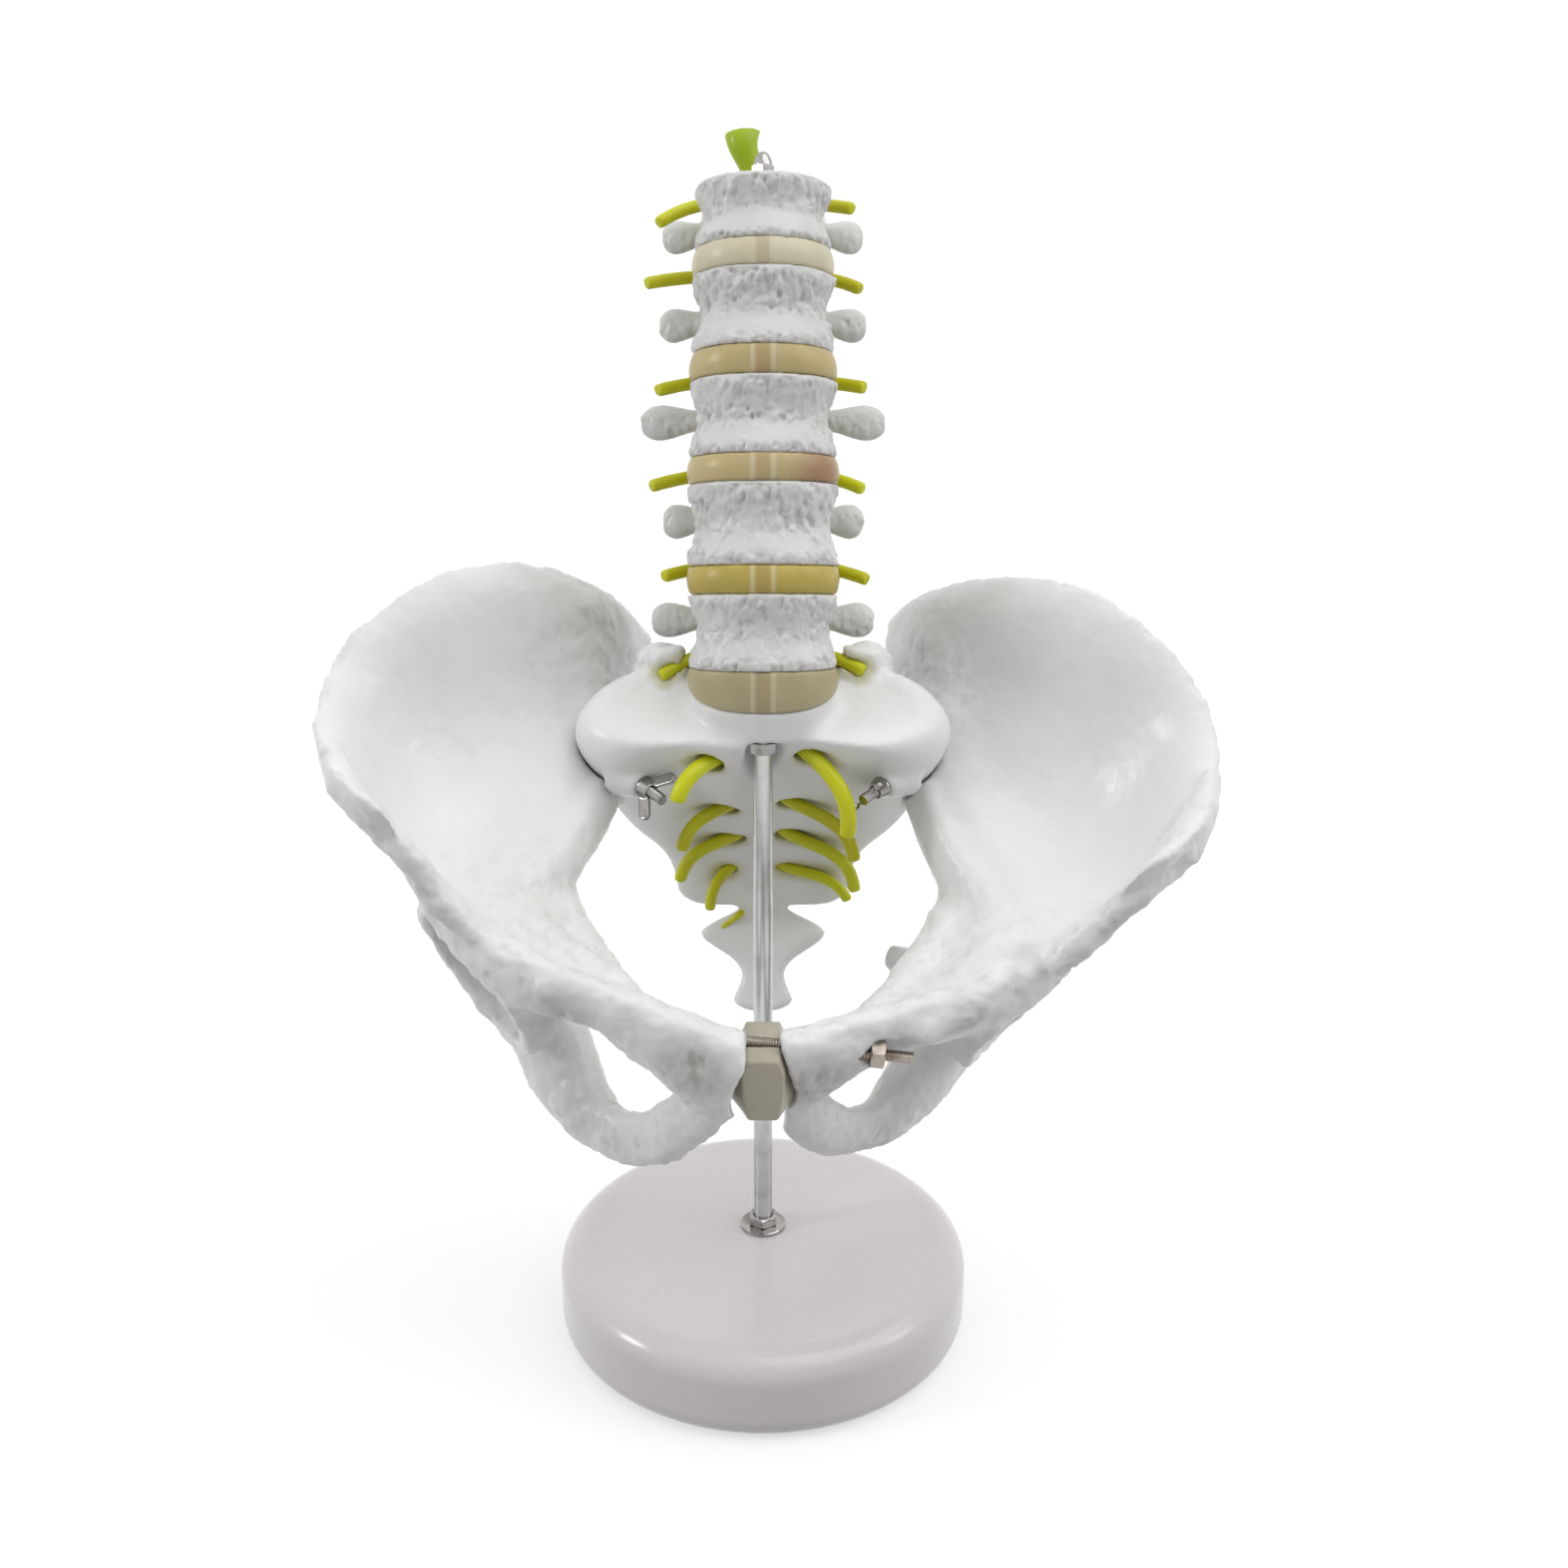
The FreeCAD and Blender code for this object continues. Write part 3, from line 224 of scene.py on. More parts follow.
def rough_by_grain(tree, shader, skin, low, high):
    """Roughness that goes from low on the high grains to high in the low ones."""
    tree.links.new(ramp(tree, skin.outputs["Height"], 0.2, 0.8, high, low), shader.inputs["Roughness"])


def attribute(tree, name):
    return node(tree, "ShaderNodeAttribute", attribute_name=name).outputs["Fac"]


# %% [markdown]
# The bones are satin white plastic with grey shade painted into their pits and
# dips, and the vertebrae are a little darker and have a coarser grain. The
# painted shade is broken up by the fine pits, so it lies in patches.

# %% Bone plastic
# Yellow tint laid on the sacrum beside the nerve holes.
NERVE_HOLE_YELLOW = (0.50, 0.46, 0.16, 1)


def bone_plastic(name, light, warm, painted_shade, grain=620.0, bump=0.35, pit_shade=0.42):
    """Cast plastic with grey shade painted into its pits and dips and a yellow tint beside the nerve holes.
    """
    material, tree, shader = finish_base(name, IOR=1.48)
    skin = cast_skin(tree, grain, shade=24.0, stretch=0.6)
    bump_with(tree, shader, skin.outputs["Height"], 0.3 * MM, bump)
    colour = mixed(tree, skin.outputs["Shade"], light, warm)
    # Painted shade: the colour turns grey in the pits and broad dips, where shade falls.
    cavity_shade = attribute(tree, "cavity_shade")
    pits = maths(tree, "MULTIPLY", cavity_shade, pit_shade)
    dips = ramp(tree, attribute(tree, "hollow"), 0.1, 1.0, 0.0, 1.0)
    dips = maths(tree, "MULTIPLY", dips, ramp(tree, cavity_shade, 0.0, 1.0, 0.55, 0.95))
    colour = mixed(tree, maths(tree, "MAXIMUM", pits, dips), colour, painted_shade)
    colour = mixed(tree, attribute(tree, "stain"), colour, NERVE_HOLE_YELLOW)
    tree.links.new(colour, shader.inputs["Base Color"])
    rough_by_grain(tree, shader, skin, 0.28, 0.44)
    return material


BONE_LIGHT = (0.800, 0.806, 0.806, 1)
BONE_WARM = (0.765, 0.765, 0.755, 1)
# Grey painted into the bones' pits and dips as shade.
BONE_PAINTED_SHADE = (0.36, 0.35, 0.33, 1)
bone_finish = bone_plastic("bone_cast_plastic", BONE_LIGHT, BONE_WARM, BONE_PAINTED_SHADE)
# The vertebrae are a little darker than the bones, partly their own tone and partly painted shade for their
# dimmer fronts.
SPINE_LIGHT = (0.700, 0.700, 0.697, 1)
SPINE_WARM = (0.640, 0.632, 0.625, 1)
# Grey painted into the vertebrae's pits and dips as shade.
SPINE_PAINTED_SHADE = (0.34, 0.335, 0.325, 1)
spine_finish = bone_plastic("vertebra_cast_plastic", SPINE_LIGHT, SPINE_WARM, SPINE_PAINTED_SHADE,
                            grain=480.0, bump=0.7, pit_shade=0.34)
print("finish", bone_finish.name, "and", spine_finish.name)

# %% [markdown]
# The base is injection moulded in a faintly lilac white and has the highest
# gloss of the plastics. Its grain is so fine that it only softens the gloss.

# %% Base plastic
BASE_LILAC = (0.640, 0.605, 0.622, 1)
BASE_LILAC_DEEP = (0.612, 0.578, 0.600, 1)


def base_plastic():
    material, tree, shader = finish_base("base_gloss_plastic", IOR=1.5, Coat_Weight=0.35, Coat_Roughness=0.12)
    skin = cast_skin(tree, 1400.0, shade=14.0, stretch=1.0)
    bump_with(tree, shader, skin.outputs["Height"], 0.06 * MM, 0.25)
    colour = mixed(tree, skin.outputs["Shade"], BASE_LILAC, BASE_LILAC_DEEP)
    tree.links.new(colour, shader.inputs["Base Color"])
    rough_by_grain(tree, shader, skin, 0.24, 0.34)
    return material


base_finish = base_plastic()
print("finish", base_finish.name)

# %% [markdown]
# The discs are clear khaki rubber. Light passes part of the way, so the core rod
# shows in the middle as a darker upright band with a highlight line on each side.
# A mask of the distance from the middle paints the band and the highlights into
# the colour, as a true view through the rubber would need a far slower render.
# Two discs have a reddish stain, each at its own place.

# %% Disc and symphysis rubber
# Colour of the painted highlight lines beside the core.
RUBBER_GLINT = (0.93, 0.86, 0.62, 1)
CORE_SHADE = (0.46, 0.30, 0.16, 1)
GLINT_AT = 3.4 * MM


def clear_rubber(name, pale, deep, stain=None, through=0.32, core=True):
    """Tinted translucent rubber with the core seen through and painted highlight lines beside it, and an
    optional stain.
    """
    material, tree, shader = finish_base(name, Roughness=0.3, IOR=1.38, Transmission_Weight=through)
    skin = cast_skin(tree, 200.0, shade=60.0, stretch=0.5)
    colour = mixed(tree, skin.outputs["Shade"], pale, deep)
    if core:
        across = node(tree, "ShaderNodeSeparateXYZ", {0: node(tree, "ShaderNodeTexCoord").outputs["Object"]})
        across = maths(tree, "ABSOLUTE", across.outputs["X"])
        beside = maths(tree, "ABSOLUTE", maths(tree, "SUBTRACT", across, GLINT_AT))
        glint = ramp(tree, beside, 1.3 * MM, 0.2 * MM, 0.0, 0.55)
        band = ramp(tree, across, 2.7 * MM, 1.7 * MM, 0.0, 0.33)
        colour = mixed(tree, glint, colour, RUBBER_GLINT)
        colour = mixed(tree, band, colour, CORE_SHADE)
    if stain is not None:
        centre, reach, tint = stain
        place = node(tree, "ShaderNodeTexCoord").outputs["Object"]
        away = node(tree, "ShaderNodeVectorMath", {0: place, 1: centre}, operation="DISTANCE")
        share = ramp(tree, away.outputs["Value"], reach, reach * 0.2, 0.0, 0.75)
        colour = mixed(tree, share, colour, tint)
    tree.links.new(colour, shader.inputs["Base Color"])
    return material


def face_point(name, across):
    """A point on the front face of a node, across its middle in metres."""
    low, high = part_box(name)
    return Vector((across, low.y + 6 * MM, (low.z + high.z) / 2))


KHAKI_PALE = (0.76, 0.63, 0.32, 1)
KHAKI_DEEP = (0.66, 0.54, 0.26, 1)
RED_STAIN = (0.42, 0.19, 0.13, 1)
STAIN_2 = (face_point("disc_2", 0.0), 9 * MM, RED_STAIN)
STAIN_3 = (face_point("disc_3", 21 * MM), 17 * MM, RED_STAIN)
disc_finishes = {
    1: clear_rubber("disc_rubber_1", (0.95, 0.88, 0.66, 1), (0.86, 0.79, 0.57, 1)),
    2: clear_rubber("disc_rubber_2", KHAKI_PALE, KHAKI_DEEP, STAIN_2),
    3: clear_rubber("disc_rubber_3", KHAKI_PALE, (0.72, 0.58, 0.31, 1), STAIN_3),
    4: clear_rubber("disc_rubber_4", (0.68, 0.54, 0.13, 1), (0.60, 0.47, 0.11, 1)),
    5: clear_rubber("disc_rubber_5", (0.66, 0.59, 0.36, 1), (0.58, 0.51, 0.30, 1)),
}
symphysis_finish = clear_rubber("symphysis_rubber", (0.56, 0.52, 0.42, 1), (0.46, 0.425, 0.34, 1),
                                through=0.2, core=False)
print("clear rubbers:", len(disc_finishes) + 1)

# %% [markdown]
# The nerves are lime rubber. Their colour drifts between lime and golden yellow,
# shade is painted darker green into the creases between the roots, and the cut stump is green.

# %% Nerve rubber
NERVE_LIME = (0.62, 0.66, 0.006, 1)
NERVE_GOLD = (0.52, 0.50, 0.006, 1)
NERVE_CREASE_SHADE = (0.20, 0.22, 0.01, 1)
STUMP_GREEN = (0.24, 0.44, 0.010, 1)
STUMP_GREEN_HEIGHTS = (385 * MM, 398 * MM)


def nerve_rubber():
    material, tree, shader = finish_base("nerve_lime_rubber", IOR=1.42)
    skin = cast_skin(tree, 420.0, shade=36.0, stretch=0.5)
    bump_with(tree, shader, skin.outputs["Height"], 0.2 * MM, 0.3)
    colour = mixed(tree, skin.outputs["Shade"], NERVE_LIME, NERVE_GOLD)
    place = node(tree, "ShaderNodeSeparateXYZ", {0: node(tree, "ShaderNodeTexCoord").outputs["Object"]})
    high = ramp(tree, place.outputs["Z"], *STUMP_GREEN_HEIGHTS)
    colour = mixed(tree, maths(tree, "MULTIPLY", high, 0.7), colour, STUMP_GREEN)
    # Painted shade: darker green in the creases between the roots.
    dips = ramp(tree, attribute(tree, "hollow"), 0.1, 0.9, 0.0, 0.6)
    colour = mixed(tree, dips, colour, NERVE_CREASE_SHADE)
    tree.links.new(colour, shader.inputs["Base Color"])
    rough_by_grain(tree, shader, skin, 0.30, 0.46)
    return material


nerve_finish = nerve_rubber()
print("finish", nerve_finish.name)

# %% [markdown]
# All the metal shares the streak group: satin for the rod, bright for the
# nuts and screws, and a browner dull steel for the pubic bolt.

# %% Metals


def metal(name, colour, tarnish, bright, dull, along):
    """Metal with streaks, its roughness between bright and dull."""
    material, tree, shader = finish_base(name, Metallic=1.0)
    streaks = node(tree, "ShaderNodeGroup", node_tree=metal_streaks)
    for label, value in (("Along", along), ("Dull", dull), ("Bright", bright)):
        streaks.inputs[label].default_value = value
    tarnished = mixed(tree, streaks.outputs["Tarnish"], colour, tarnish)
    tree.links.new(tarnished, shader.inputs["Base Color"])
    tree.links.new(streaks.outputs["Roughness"], shader.inputs["Roughness"])
    bump_with(tree, shader, streaks.outputs["Height"], 0.04 * MM, 0.2)
    return material


rod_finish = metal("rod_satin_steel", (0.58, 0.585, 0.585, 1), (0.50, 0.50, 0.49, 1), 0.22, 0.40, 0.03)
chrome_finish = metal("bright_chrome", (0.42, 0.41, 0.40, 1), (0.24, 0.225, 0.21, 1), 0.06, 0.20, 1.0)
dull_finish = metal("dull_bolt_steel", (0.36, 0.32, 0.28, 1), (0.22, 0.18, 0.15, 1), 0.16, 0.36, 1.0)
print("metals:", rod_finish.name, chrome_finish.name, dull_finish.name)

# %% [markdown]
# ## Making pieces
# A finished piece keeps its place in its mesh, rides on the one body, takes
# its finish as its material and may stand for a CAD node.

# %% Helpers for pieces


def piece_of(mesh, name):
    """A piece that shows a mesh."""
    mesh.name = name
    made = bpy.data.objects.new(name, mesh)
    bpy.context.scene.collection.objects.link(made)
    return made


def fitted(piece, slot, finish, *nodes_stood_for):
    """Finish a piece, hang it on the root body and hide the CAD nodes it stands for."""
    piece.data.materials.clear()
    piece.data.materials.append(finish)
    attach(piece, "root")
    if nodes_stood_for:
        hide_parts(*nodes_stood_for)
    print("%-18s %7d faces, %s" % (piece.name, len(piece.data.polygons), finish.name))
    return piece


def evaluated(holder):
    """The plain mesh that an object's modifiers give, and the object removed."""
    depsgraph = bpy.context.evaluated_depsgraph_get()
    mesh = bpy.data.meshes.new_from_object(holder.evaluated_get(depsgraph), depsgraph=depsgraph)
    bpy.data.objects.remove(holder)
    return mesh


def run_tree(tree, name, inputs, mesh=None):
    """Run a geometry tree on a mesh with its inputs set, and return the plain mesh."""
    holder = piece_of(mesh or bpy.data.meshes.new(name), name + "_holder")
    modifier = holder.modifiers.new("maker", "NODES")
    modifier.node_group = tree
    for item in tree.interface.items_tree:
        if item.in_out == "INPUT" and item.name in inputs:
            modifier[item.identifier] = inputs[item.name]
    return evaluated(holder)


# %% [markdown]
# ## Sculpting the cast skin
# A CAD solid is exact but too clean for a bone. Its mesh is copied, merged,
# remeshed into one even skin, and then smoothed: little on its convex edges
# and much in the creases between limbs, as a modeller would work clay. The
# bulge of the skin at each point tells the two apart.

# %% Even skin of a CAD node


def read(holder, what, width):
    """Numbers of a mesh's vertices, normals or attribute, in rows of the given width."""
    values = np.zeros(len(holder) * width, np.float32)
    holder.foreach_get(what, values)
    return values.reshape(-1, width).astype(float)


def store(mesh, name, values):
    """Keep one number for each vertex, for the trees and the finishes."""
    kept = mesh.attributes.get(name) or mesh.attributes.new(name, "FLOAT", "POINT")
    kept.data.foreach_set("value", values.astype(np.float32))


def even_skin(name, voxel, blobs=()):
    """One closed skin over a CAD node and extra (centre, radii) blobs in millimetres."""
    shell = bmesh.new()
    shell.from_mesh(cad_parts[name].data)
    bmesh.ops.remove_doubles(shell, verts=shell.verts, dist=1e-6)
    for centre, radii in blobs:
        shape = Matrix.Translation(Vector(centre) * MM) @ Matrix.Diagonal((*(Vector(radii) * MM), 1.0))
        bmesh.ops.create_icosphere(shell, subdivisions=2, radius=1.0, matrix=shape)
    mesh = bpy.data.meshes.new("skin")
    shell.to_mesh(mesh)
    shell.free()
    holder = piece_of(mesh, "skin_holder")
    remesh = holder.modifiers.new("even skin", "REMESH")
    remesh.mode = "VOXEL"
    remesh.voxel_size = voxel * MM
    return evaluated(holder)


BALL_STEP = 1.5


def roll(*stops):
    """Overlapping balls along a line of (x, y, z, radius) stops in millimetres."""
    balls = []
    for first, second in zip(stops, stops[1:]):
        first, second = np.array(first, float), np.array(second, float)
        steps = max(2, int(np.linalg.norm(second[:3] - first[:3]) / BALL_STEP))
        for share in np.linspace(0.0, 1.0, steps):
            x, y, z, radius = first + share * (second - first)
            balls.append(((x, y, z), (radius, radius, radius)))
    return balls


# %% [markdown]
# Bulge is the pull of a point's neighbours along its normal, averaged over some
# rounds. It guides the smoothing, and what is left of it afterwards is stored as
# hollow and rough, so the painted shade and the relief follow the form.

# %% Bulge and smoothing
CREASE_BULGE = (0.01, 0.06)
HOLLOW_BULGE = (0.02, 0.16)
CREST_BULGE = (0.04, 0.13)


def neighbour_mean(values, edges, counts):
    """Mean of each vertex's neighbours, for one or more columns."""
    total = np.zeros_like(values)
    for column in range(values.shape[1]):
        total[:, column] = np.bincount(edges[:, 0], values[edges[:, 1], column], len(values))
        total[:, column] += np.bincount(edges[:, 1], values[edges[:, 0], column], len(values))
    return total / counts[:, None]


def bulge(points, normals, edges, counts, rounds):
    """Bulge of the skin in 1/mm, positive on ridges and negative in creases."""
    step = np.linalg.norm(points[edges[:, 0]] - points[edges[:, 1]], axis=1).mean()
    offset = neighbour_mean(points, edges, counts) - points
    value = -2.0 * np.einsum("ij,ij->i", offset, normals)[:, None] / step ** 2 * MM
    for _ in range(rounds):
        value = 0.4 * value + 0.6 * neighbour_mean(value, edges, counts)
    return value[:, 0]


def smooth_share(values, low, high):
    """0 up to low, 1 from high on, and a smooth rise between."""
    share = np.clip((values - low) / (high - low), 0.0, 1.0)
    return share * share * (3.0 - 2.0 * share)


def soften(mesh, crease_rounds, edge_rounds):
    """Smooth the skin, much in creases and little elsewhere, and store its bulge."""
    edges = np.zeros(len(mesh.edges) * 2, np.int32)
    mesh.edges.foreach_get("vertices", edges)
    edges = edges.reshape(-1, 2)
    points = read(mesh.vertices, "co", 3)
    counts = np.maximum(np.bincount(edges.ravel(), minlength=len(points)), 1).astype(float)
    for rounds, only_creases in ((edge_rounds, False), (crease_rounds, True), (edge_rounds, False)):
        mesh.vertices.foreach_set("co", points.astype(np.float32).ravel())
        mesh.update()
        normals = read(mesh.vertex_normals, "vector", 3)
        weight = np.full(len(points), 0.5)
        if only_creases:
            weight = 0.5 * smooth_share(-bulge(points, normals, edges, counts, 12), *CREASE_BULGE)
        for _ in range(rounds):
            points = points + weight[:, None] * (neighbour_mean(points, edges, counts) - points)
    mesh.vertices.foreach_set("co", points.astype(np.float32).ravel())
    mesh.update()
    normals = read(mesh.vertex_normals, "vector", 3)
    broad = bulge(points, normals, edges, counts, 16)
    store(mesh, "hollow", smooth_share(-broad, *HOLLOW_BULGE))
    store(mesh, "rough", smooth_share(broad, *CREST_BULGE))
    return points, normals


# %% [markdown]
# Some rough places, and places where grey shade is painted, have no form of
# their own. They are given as round spots, or by the distance to a neighbouring
# part. A spot whose painted shade strength is SHADE_ONLY_STRENGTH only colours the skin and leaves it smooth.

# %% Zones of the skin
# Strength of painted shade that marks a spot as colour only.
SHADE_ONLY_STRENGTH = 0.3


def nearness(points, nodes, touching, reach):
    """1 within touching of the given CAD nodes, falling to 0 at reach, in metres."""
    places = [vertex.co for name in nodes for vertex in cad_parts[name].data.vertices]
    finder = KDTree(len(places))
    for index, place in enumerate(places):
        finder.insert(place, index)
    finder.balance()
    away = np.array([finder.find(point)[2] for point in points])
    return 1.0 - smooth_share(away, touching, reach)


def spot_shares(points, spots):
    """Greatest roughness and painted shade over (centre, radius, shade strength) spots in millimetres."""
    rough, painted_shade = np.zeros(len(points)), np.zeros(len(points))
    for centre, radius, strength in spots:
        away = np.linalg.norm(points / MM - np.array(centre), axis=1) / radius
        share = np.exp(-away ** 2)
        if strength != SHADE_ONLY_STRENGTH:
            rough = np.maximum(rough, share)
        painted_shade = np.maximum(painted_shade, strength * share)
    return rough, painted_shade


# %% [markdown]
# The fine relief comes last, from a geometry tree: upright ridges, scattered
# pits and low lumps push the skin in and out along its normals. The stored
# rough value says where. Each bone has its own fixed seed.

# %% Geometry tree: bone relief
PATCH_SCALE = 110.0


def bone_relief_tree():
    tree, entry, leave = new_tree(
        "Bone Relief", "GeometryNodeTree",
        [("Skin", "NodeSocketGeometry", None), ("Ridge Depth", FLOAT, 0.0003), ("Ridge Scale", FLOAT, 420.0),
         ("Upright Stretch", FLOAT, 0.4), ("Pit Depth", FLOAT, 0.0003), ("Lump Depth", FLOAT, 0.0003),
         ("Lump Scale", FLOAT, 90.0), ("Least Rough", FLOAT, 0.1), ("Seed", FLOAT, 0.0),
         ("Material", "NodeSocketMaterial", None)],
        [("Skin", "NodeSocketGeometry")])
    rough = node(tree, "GeometryNodeInputNamedAttribute", {"Name": "rough"}, data_type="FLOAT").outputs[0]
    rough = maths(tree, "MAXIMUM", rough, entry["Least Rough"])
    place = node(tree, "GeometryNodeInputPosition").outputs[0]
    squeeze = node(tree, "ShaderNodeCombineXYZ", {"X": 1.0, "Y": 1.0, "Z": entry["Upright Stretch"]})
    drawn = node(tree, "ShaderNodeVectorMath", {0: place, 1: squeeze.outputs[0]}, operation="MULTIPLY")

    def swing(vector, scale, detail):
        """Noise that swings about 0."""
        made = node(tree, "ShaderNodeTexNoise", {"Vector": vector, "W": entry["Seed"], "Scale": scale,
                                                 "Detail": detail, "Roughness": 0.6}, noise_dimensions="4D")
        return maths(tree, "MULTIPLY_ADD", made.outputs[0], 2.0, -1.0)

    ridges = swing(drawn.outputs[0], entry["Ridge Scale"], 3.0)
    lumps = swing(place, entry["Lump Scale"], 3.0)
    patches = swing(place, PATCH_SCALE, 2.0)
    patch = ramp(tree, patches, -0.25, 0.3, 0.25, 1.0)
    cells = node(tree, "ShaderNodeTexVoronoi", {"Vector": drawn.outputs[0], "W": entry["Seed"],
                                                "Scale": entry["Ridge Scale"]}, voronoi_dimensions="4D")
    pits = maths(tree, "MULTIPLY", ramp(tree, cells.outputs["Distance"], 0.42, 0.15), patch)
    grooves = ramp(tree, ridges, 0.05, -0.4)
    cavity_shade = maths(tree, "MULTIPLY", rough, maths(tree, "MAXIMUM", pits, grooves), clamp=True)
    # cavity_shade marks the pits and grooves, where the finishes paint grey shade.
    skin = node(tree, "GeometryNodeStoreNamedAttribute", {"Geometry": entry["Skin"], "Name": "cavity_shade",
                                                          "Value": cavity_shade}, data_type="FLOAT", domain="POINT")
    push = maths(tree, "MULTIPLY", maths(tree, "MULTIPLY", ridges, entry["Ridge Depth"]), patch)
    push = maths(tree, "SUBTRACT", push, maths(tree, "MULTIPLY", pits, entry["Pit Depth"]))
    push = maths(tree, "MULTIPLY", push, rough)
    low_lumps = maths(tree, "MULTIPLY", maths(tree, "MULTIPLY", lumps, entry["Lump Depth"]),
                      ramp(tree, rough, 0.0, 1.0, 0.25, 1.0))
    push = maths(tree, "ADD", push, low_lumps)
    offset = node(tree, "ShaderNodeVectorMath", {0: node(tree, "GeometryNodeInputNormal").outputs[0],
                                                 "Scale": push}, operation="SCALE")
    moved = node(tree, "GeometryNodeSetPosition", {"Geometry": skin.outputs[0], "Offset": offset.outputs[0]})
    smooth = node(tree, "GeometryNodeSetShadeSmooth", {"Geometry": moved.outputs[0]})
    real = node(tree, "GeometryNodeRealizeInstances", {"Geometry": smooth.outputs[0]})
    dressed = node(tree, "GeometryNodeSetMaterial", {"Geometry": real.outputs[0],
                                                     "Material": entry["Material"]})
    tree.links.new(dressed.outputs[0], leave["Skin"])
    return tree


bone_relief = bone_relief_tree()
print("tree", bone_relief.name, "with", len(bone_relief.nodes), "nodes")

# %% [markdown]
# ## Lumbar vertebrae
# The bodies have upright ridges and pits all round their waist, strongest on
# the front and sides, while the end faces stay flat against the discs.

# %% Sculpt the vertebrae
VERTEBRA_VOXEL = 0.65
BODY_DEPTH = 33 * MM
for level in range(1, 6):
    name = "lumbar_%d" % level
    mesh = even_skin(name, VERTEBRA_VOXEL)
    points, normals = soften(mesh, 30, 3)
    front = points[:, 1].min()
    on_body = smooth_share(-(points[:, 1] - front), -BODY_DEPTH, -BODY_DEPTH * 0.7)
    upright = smooth_share(1.0 - np.abs(normals[:, 2]), 0.25, 0.6)
    store(mesh, "rough", np.maximum(on_body * upright, 0.45 * upright))
    mesh = run_tree(bone_relief, name, {
        "Ridge Depth": 3.2 * MM, "Ridge Scale": 360.0, "Upright Stretch": 0.5, "Pit Depth": 1.3 * MM,
        "Lump Depth": 1.0 * MM, "Lump Scale": 130.0, "Least Rough": 0.03, "Seed": 1.7 * level,
        "Material": spine_finish}, mesh)
    fitted(piece_of(mesh, "vertebra_%d" % level), "bone_plastic", spine_finish, name)

# %% [markdown]
# ## Sacrum
# Its wings are smooth, and its horns end in broad plates that the lowest
# vertebra rests on. The plates are added as blobs before the skin is made. Grey
# shade is painted along the seam with the hip bones, and the rims of the nerve
# holes get a yellow tint.

# %% Sculpt the sacrum
SACRUM_VOXEL = 1.0
HORN_PLATES = [((side * 35.0, 41.0, 236.5), (10.5, 4.8, 10.0)) for side in (-1, 1)]
mesh = even_skin("sacrum", SACRUM_VOXEL, HORN_PLATES)
points, normals = soften(mesh, 40, 4)
HORN_ROUGH_RADIUS = 15.0
HORN_SHADE = 0.1
horn_spots = [(centre, HORN_ROUGH_RADIUS, HORN_SHADE) for centre, _ in HORN_PLATES]
# Painted shade: a little grey at the horn plates, and grey along the seam with the hip bones, where shade
# falls between the parts.
rough, painted_shade = spot_shares(points, horn_spots)
seam = nearness(points, ["hip_bone_left", "hip_bone_right"], touching=0.6 * MM, reach=2.2 * MM)
store(mesh, "rough", np.maximum(rough, 0.12))
store(mesh, "hollow", np.maximum(seam, painted_shade))
# Yellow tint on the rims of the nerve holes, kept in the stain attribute.
rims = nearness(points, ["spinal_nerves"], touching=0.8 * MM, reach=4.5 * MM)
not_behind = normals[:, 1] < 0.3
store(mesh, "stain", 0.6 * rims * not_behind)
mesh = run_tree(bone_relief, "sacrum_cast", {
    "Ridge Depth": 1.0 * MM, "Ridge Scale": 300.0, "Upright Stretch": 0.8, "Pit Depth": 0.6 * MM,
    "Lump Depth": 1.2 * MM, "Lump Scale": 70.0, "Least Rough": 0.08, "Seed": 11.0,
    "Material": bone_finish}, mesh)
fitted(piece_of(mesh, "sacrum_cast"), "bone_plastic", bone_finish, "sacrum")

# %% [markdown]
# ## Hip bones
# The wings are smooth plates, and the relief grows where the skin bulges, below
# the foot of the wing and in rough zones along the crest, the limbs and the pubic
# body. Soft rolls of clay are laid on before the skin is made. They give the lip
# from the crest down the front edge, the filling between the front and inner limbs
# and the swelling over the socket. Both bones differ, so each has its own lists.

# %% Clay and rough zones of the hip bones
# Clay: rolls of (x, y, z, radius) stops. Zones: (centre, radius, strength of painted shade). In millimetres.
HIP_CLAY = {
    "hip_bone_left":
        roll((-134, -36, 237, 4), (-129, -46, 230, 5.5), (-120, -52, 222, 5), (-110, -56, 213, 4.5),
             (-104, -56, 203, 4.5), (-99, -55, 194, 6.5), (-91, -57, 186, 4.5))
        + roll((-88, -40, 182, 9), (-72, -45, 173, 10), (-56, -50, 166, 8), (-44, -57, 165, 5))
        + roll((-78, -58, 178, 4), (-66, -65, 170, 7), (-52, -68, 165, 5)),
    "hip_bone_right":
        roll((143, -20, 221, 4), (138, -33, 214, 5.5), (131, -43, 206, 6), (120, -50, 199, 5),
             (110, -53, 190, 4.5), (101, -51, 181, 6), (93, -53, 172, 5))
        + roll((92, -36, 174, 8), (74, -43, 166, 10), (60, -46, 157, 8), (47, -52, 152, 5))
        + roll((76, -53, 168, 4), (66, -58, 160, 7), (52, -61, 153, 5))
        + roll((70, -34, 162, 7), (58, -40, 156, 7), (48, -46, 152, 5))}
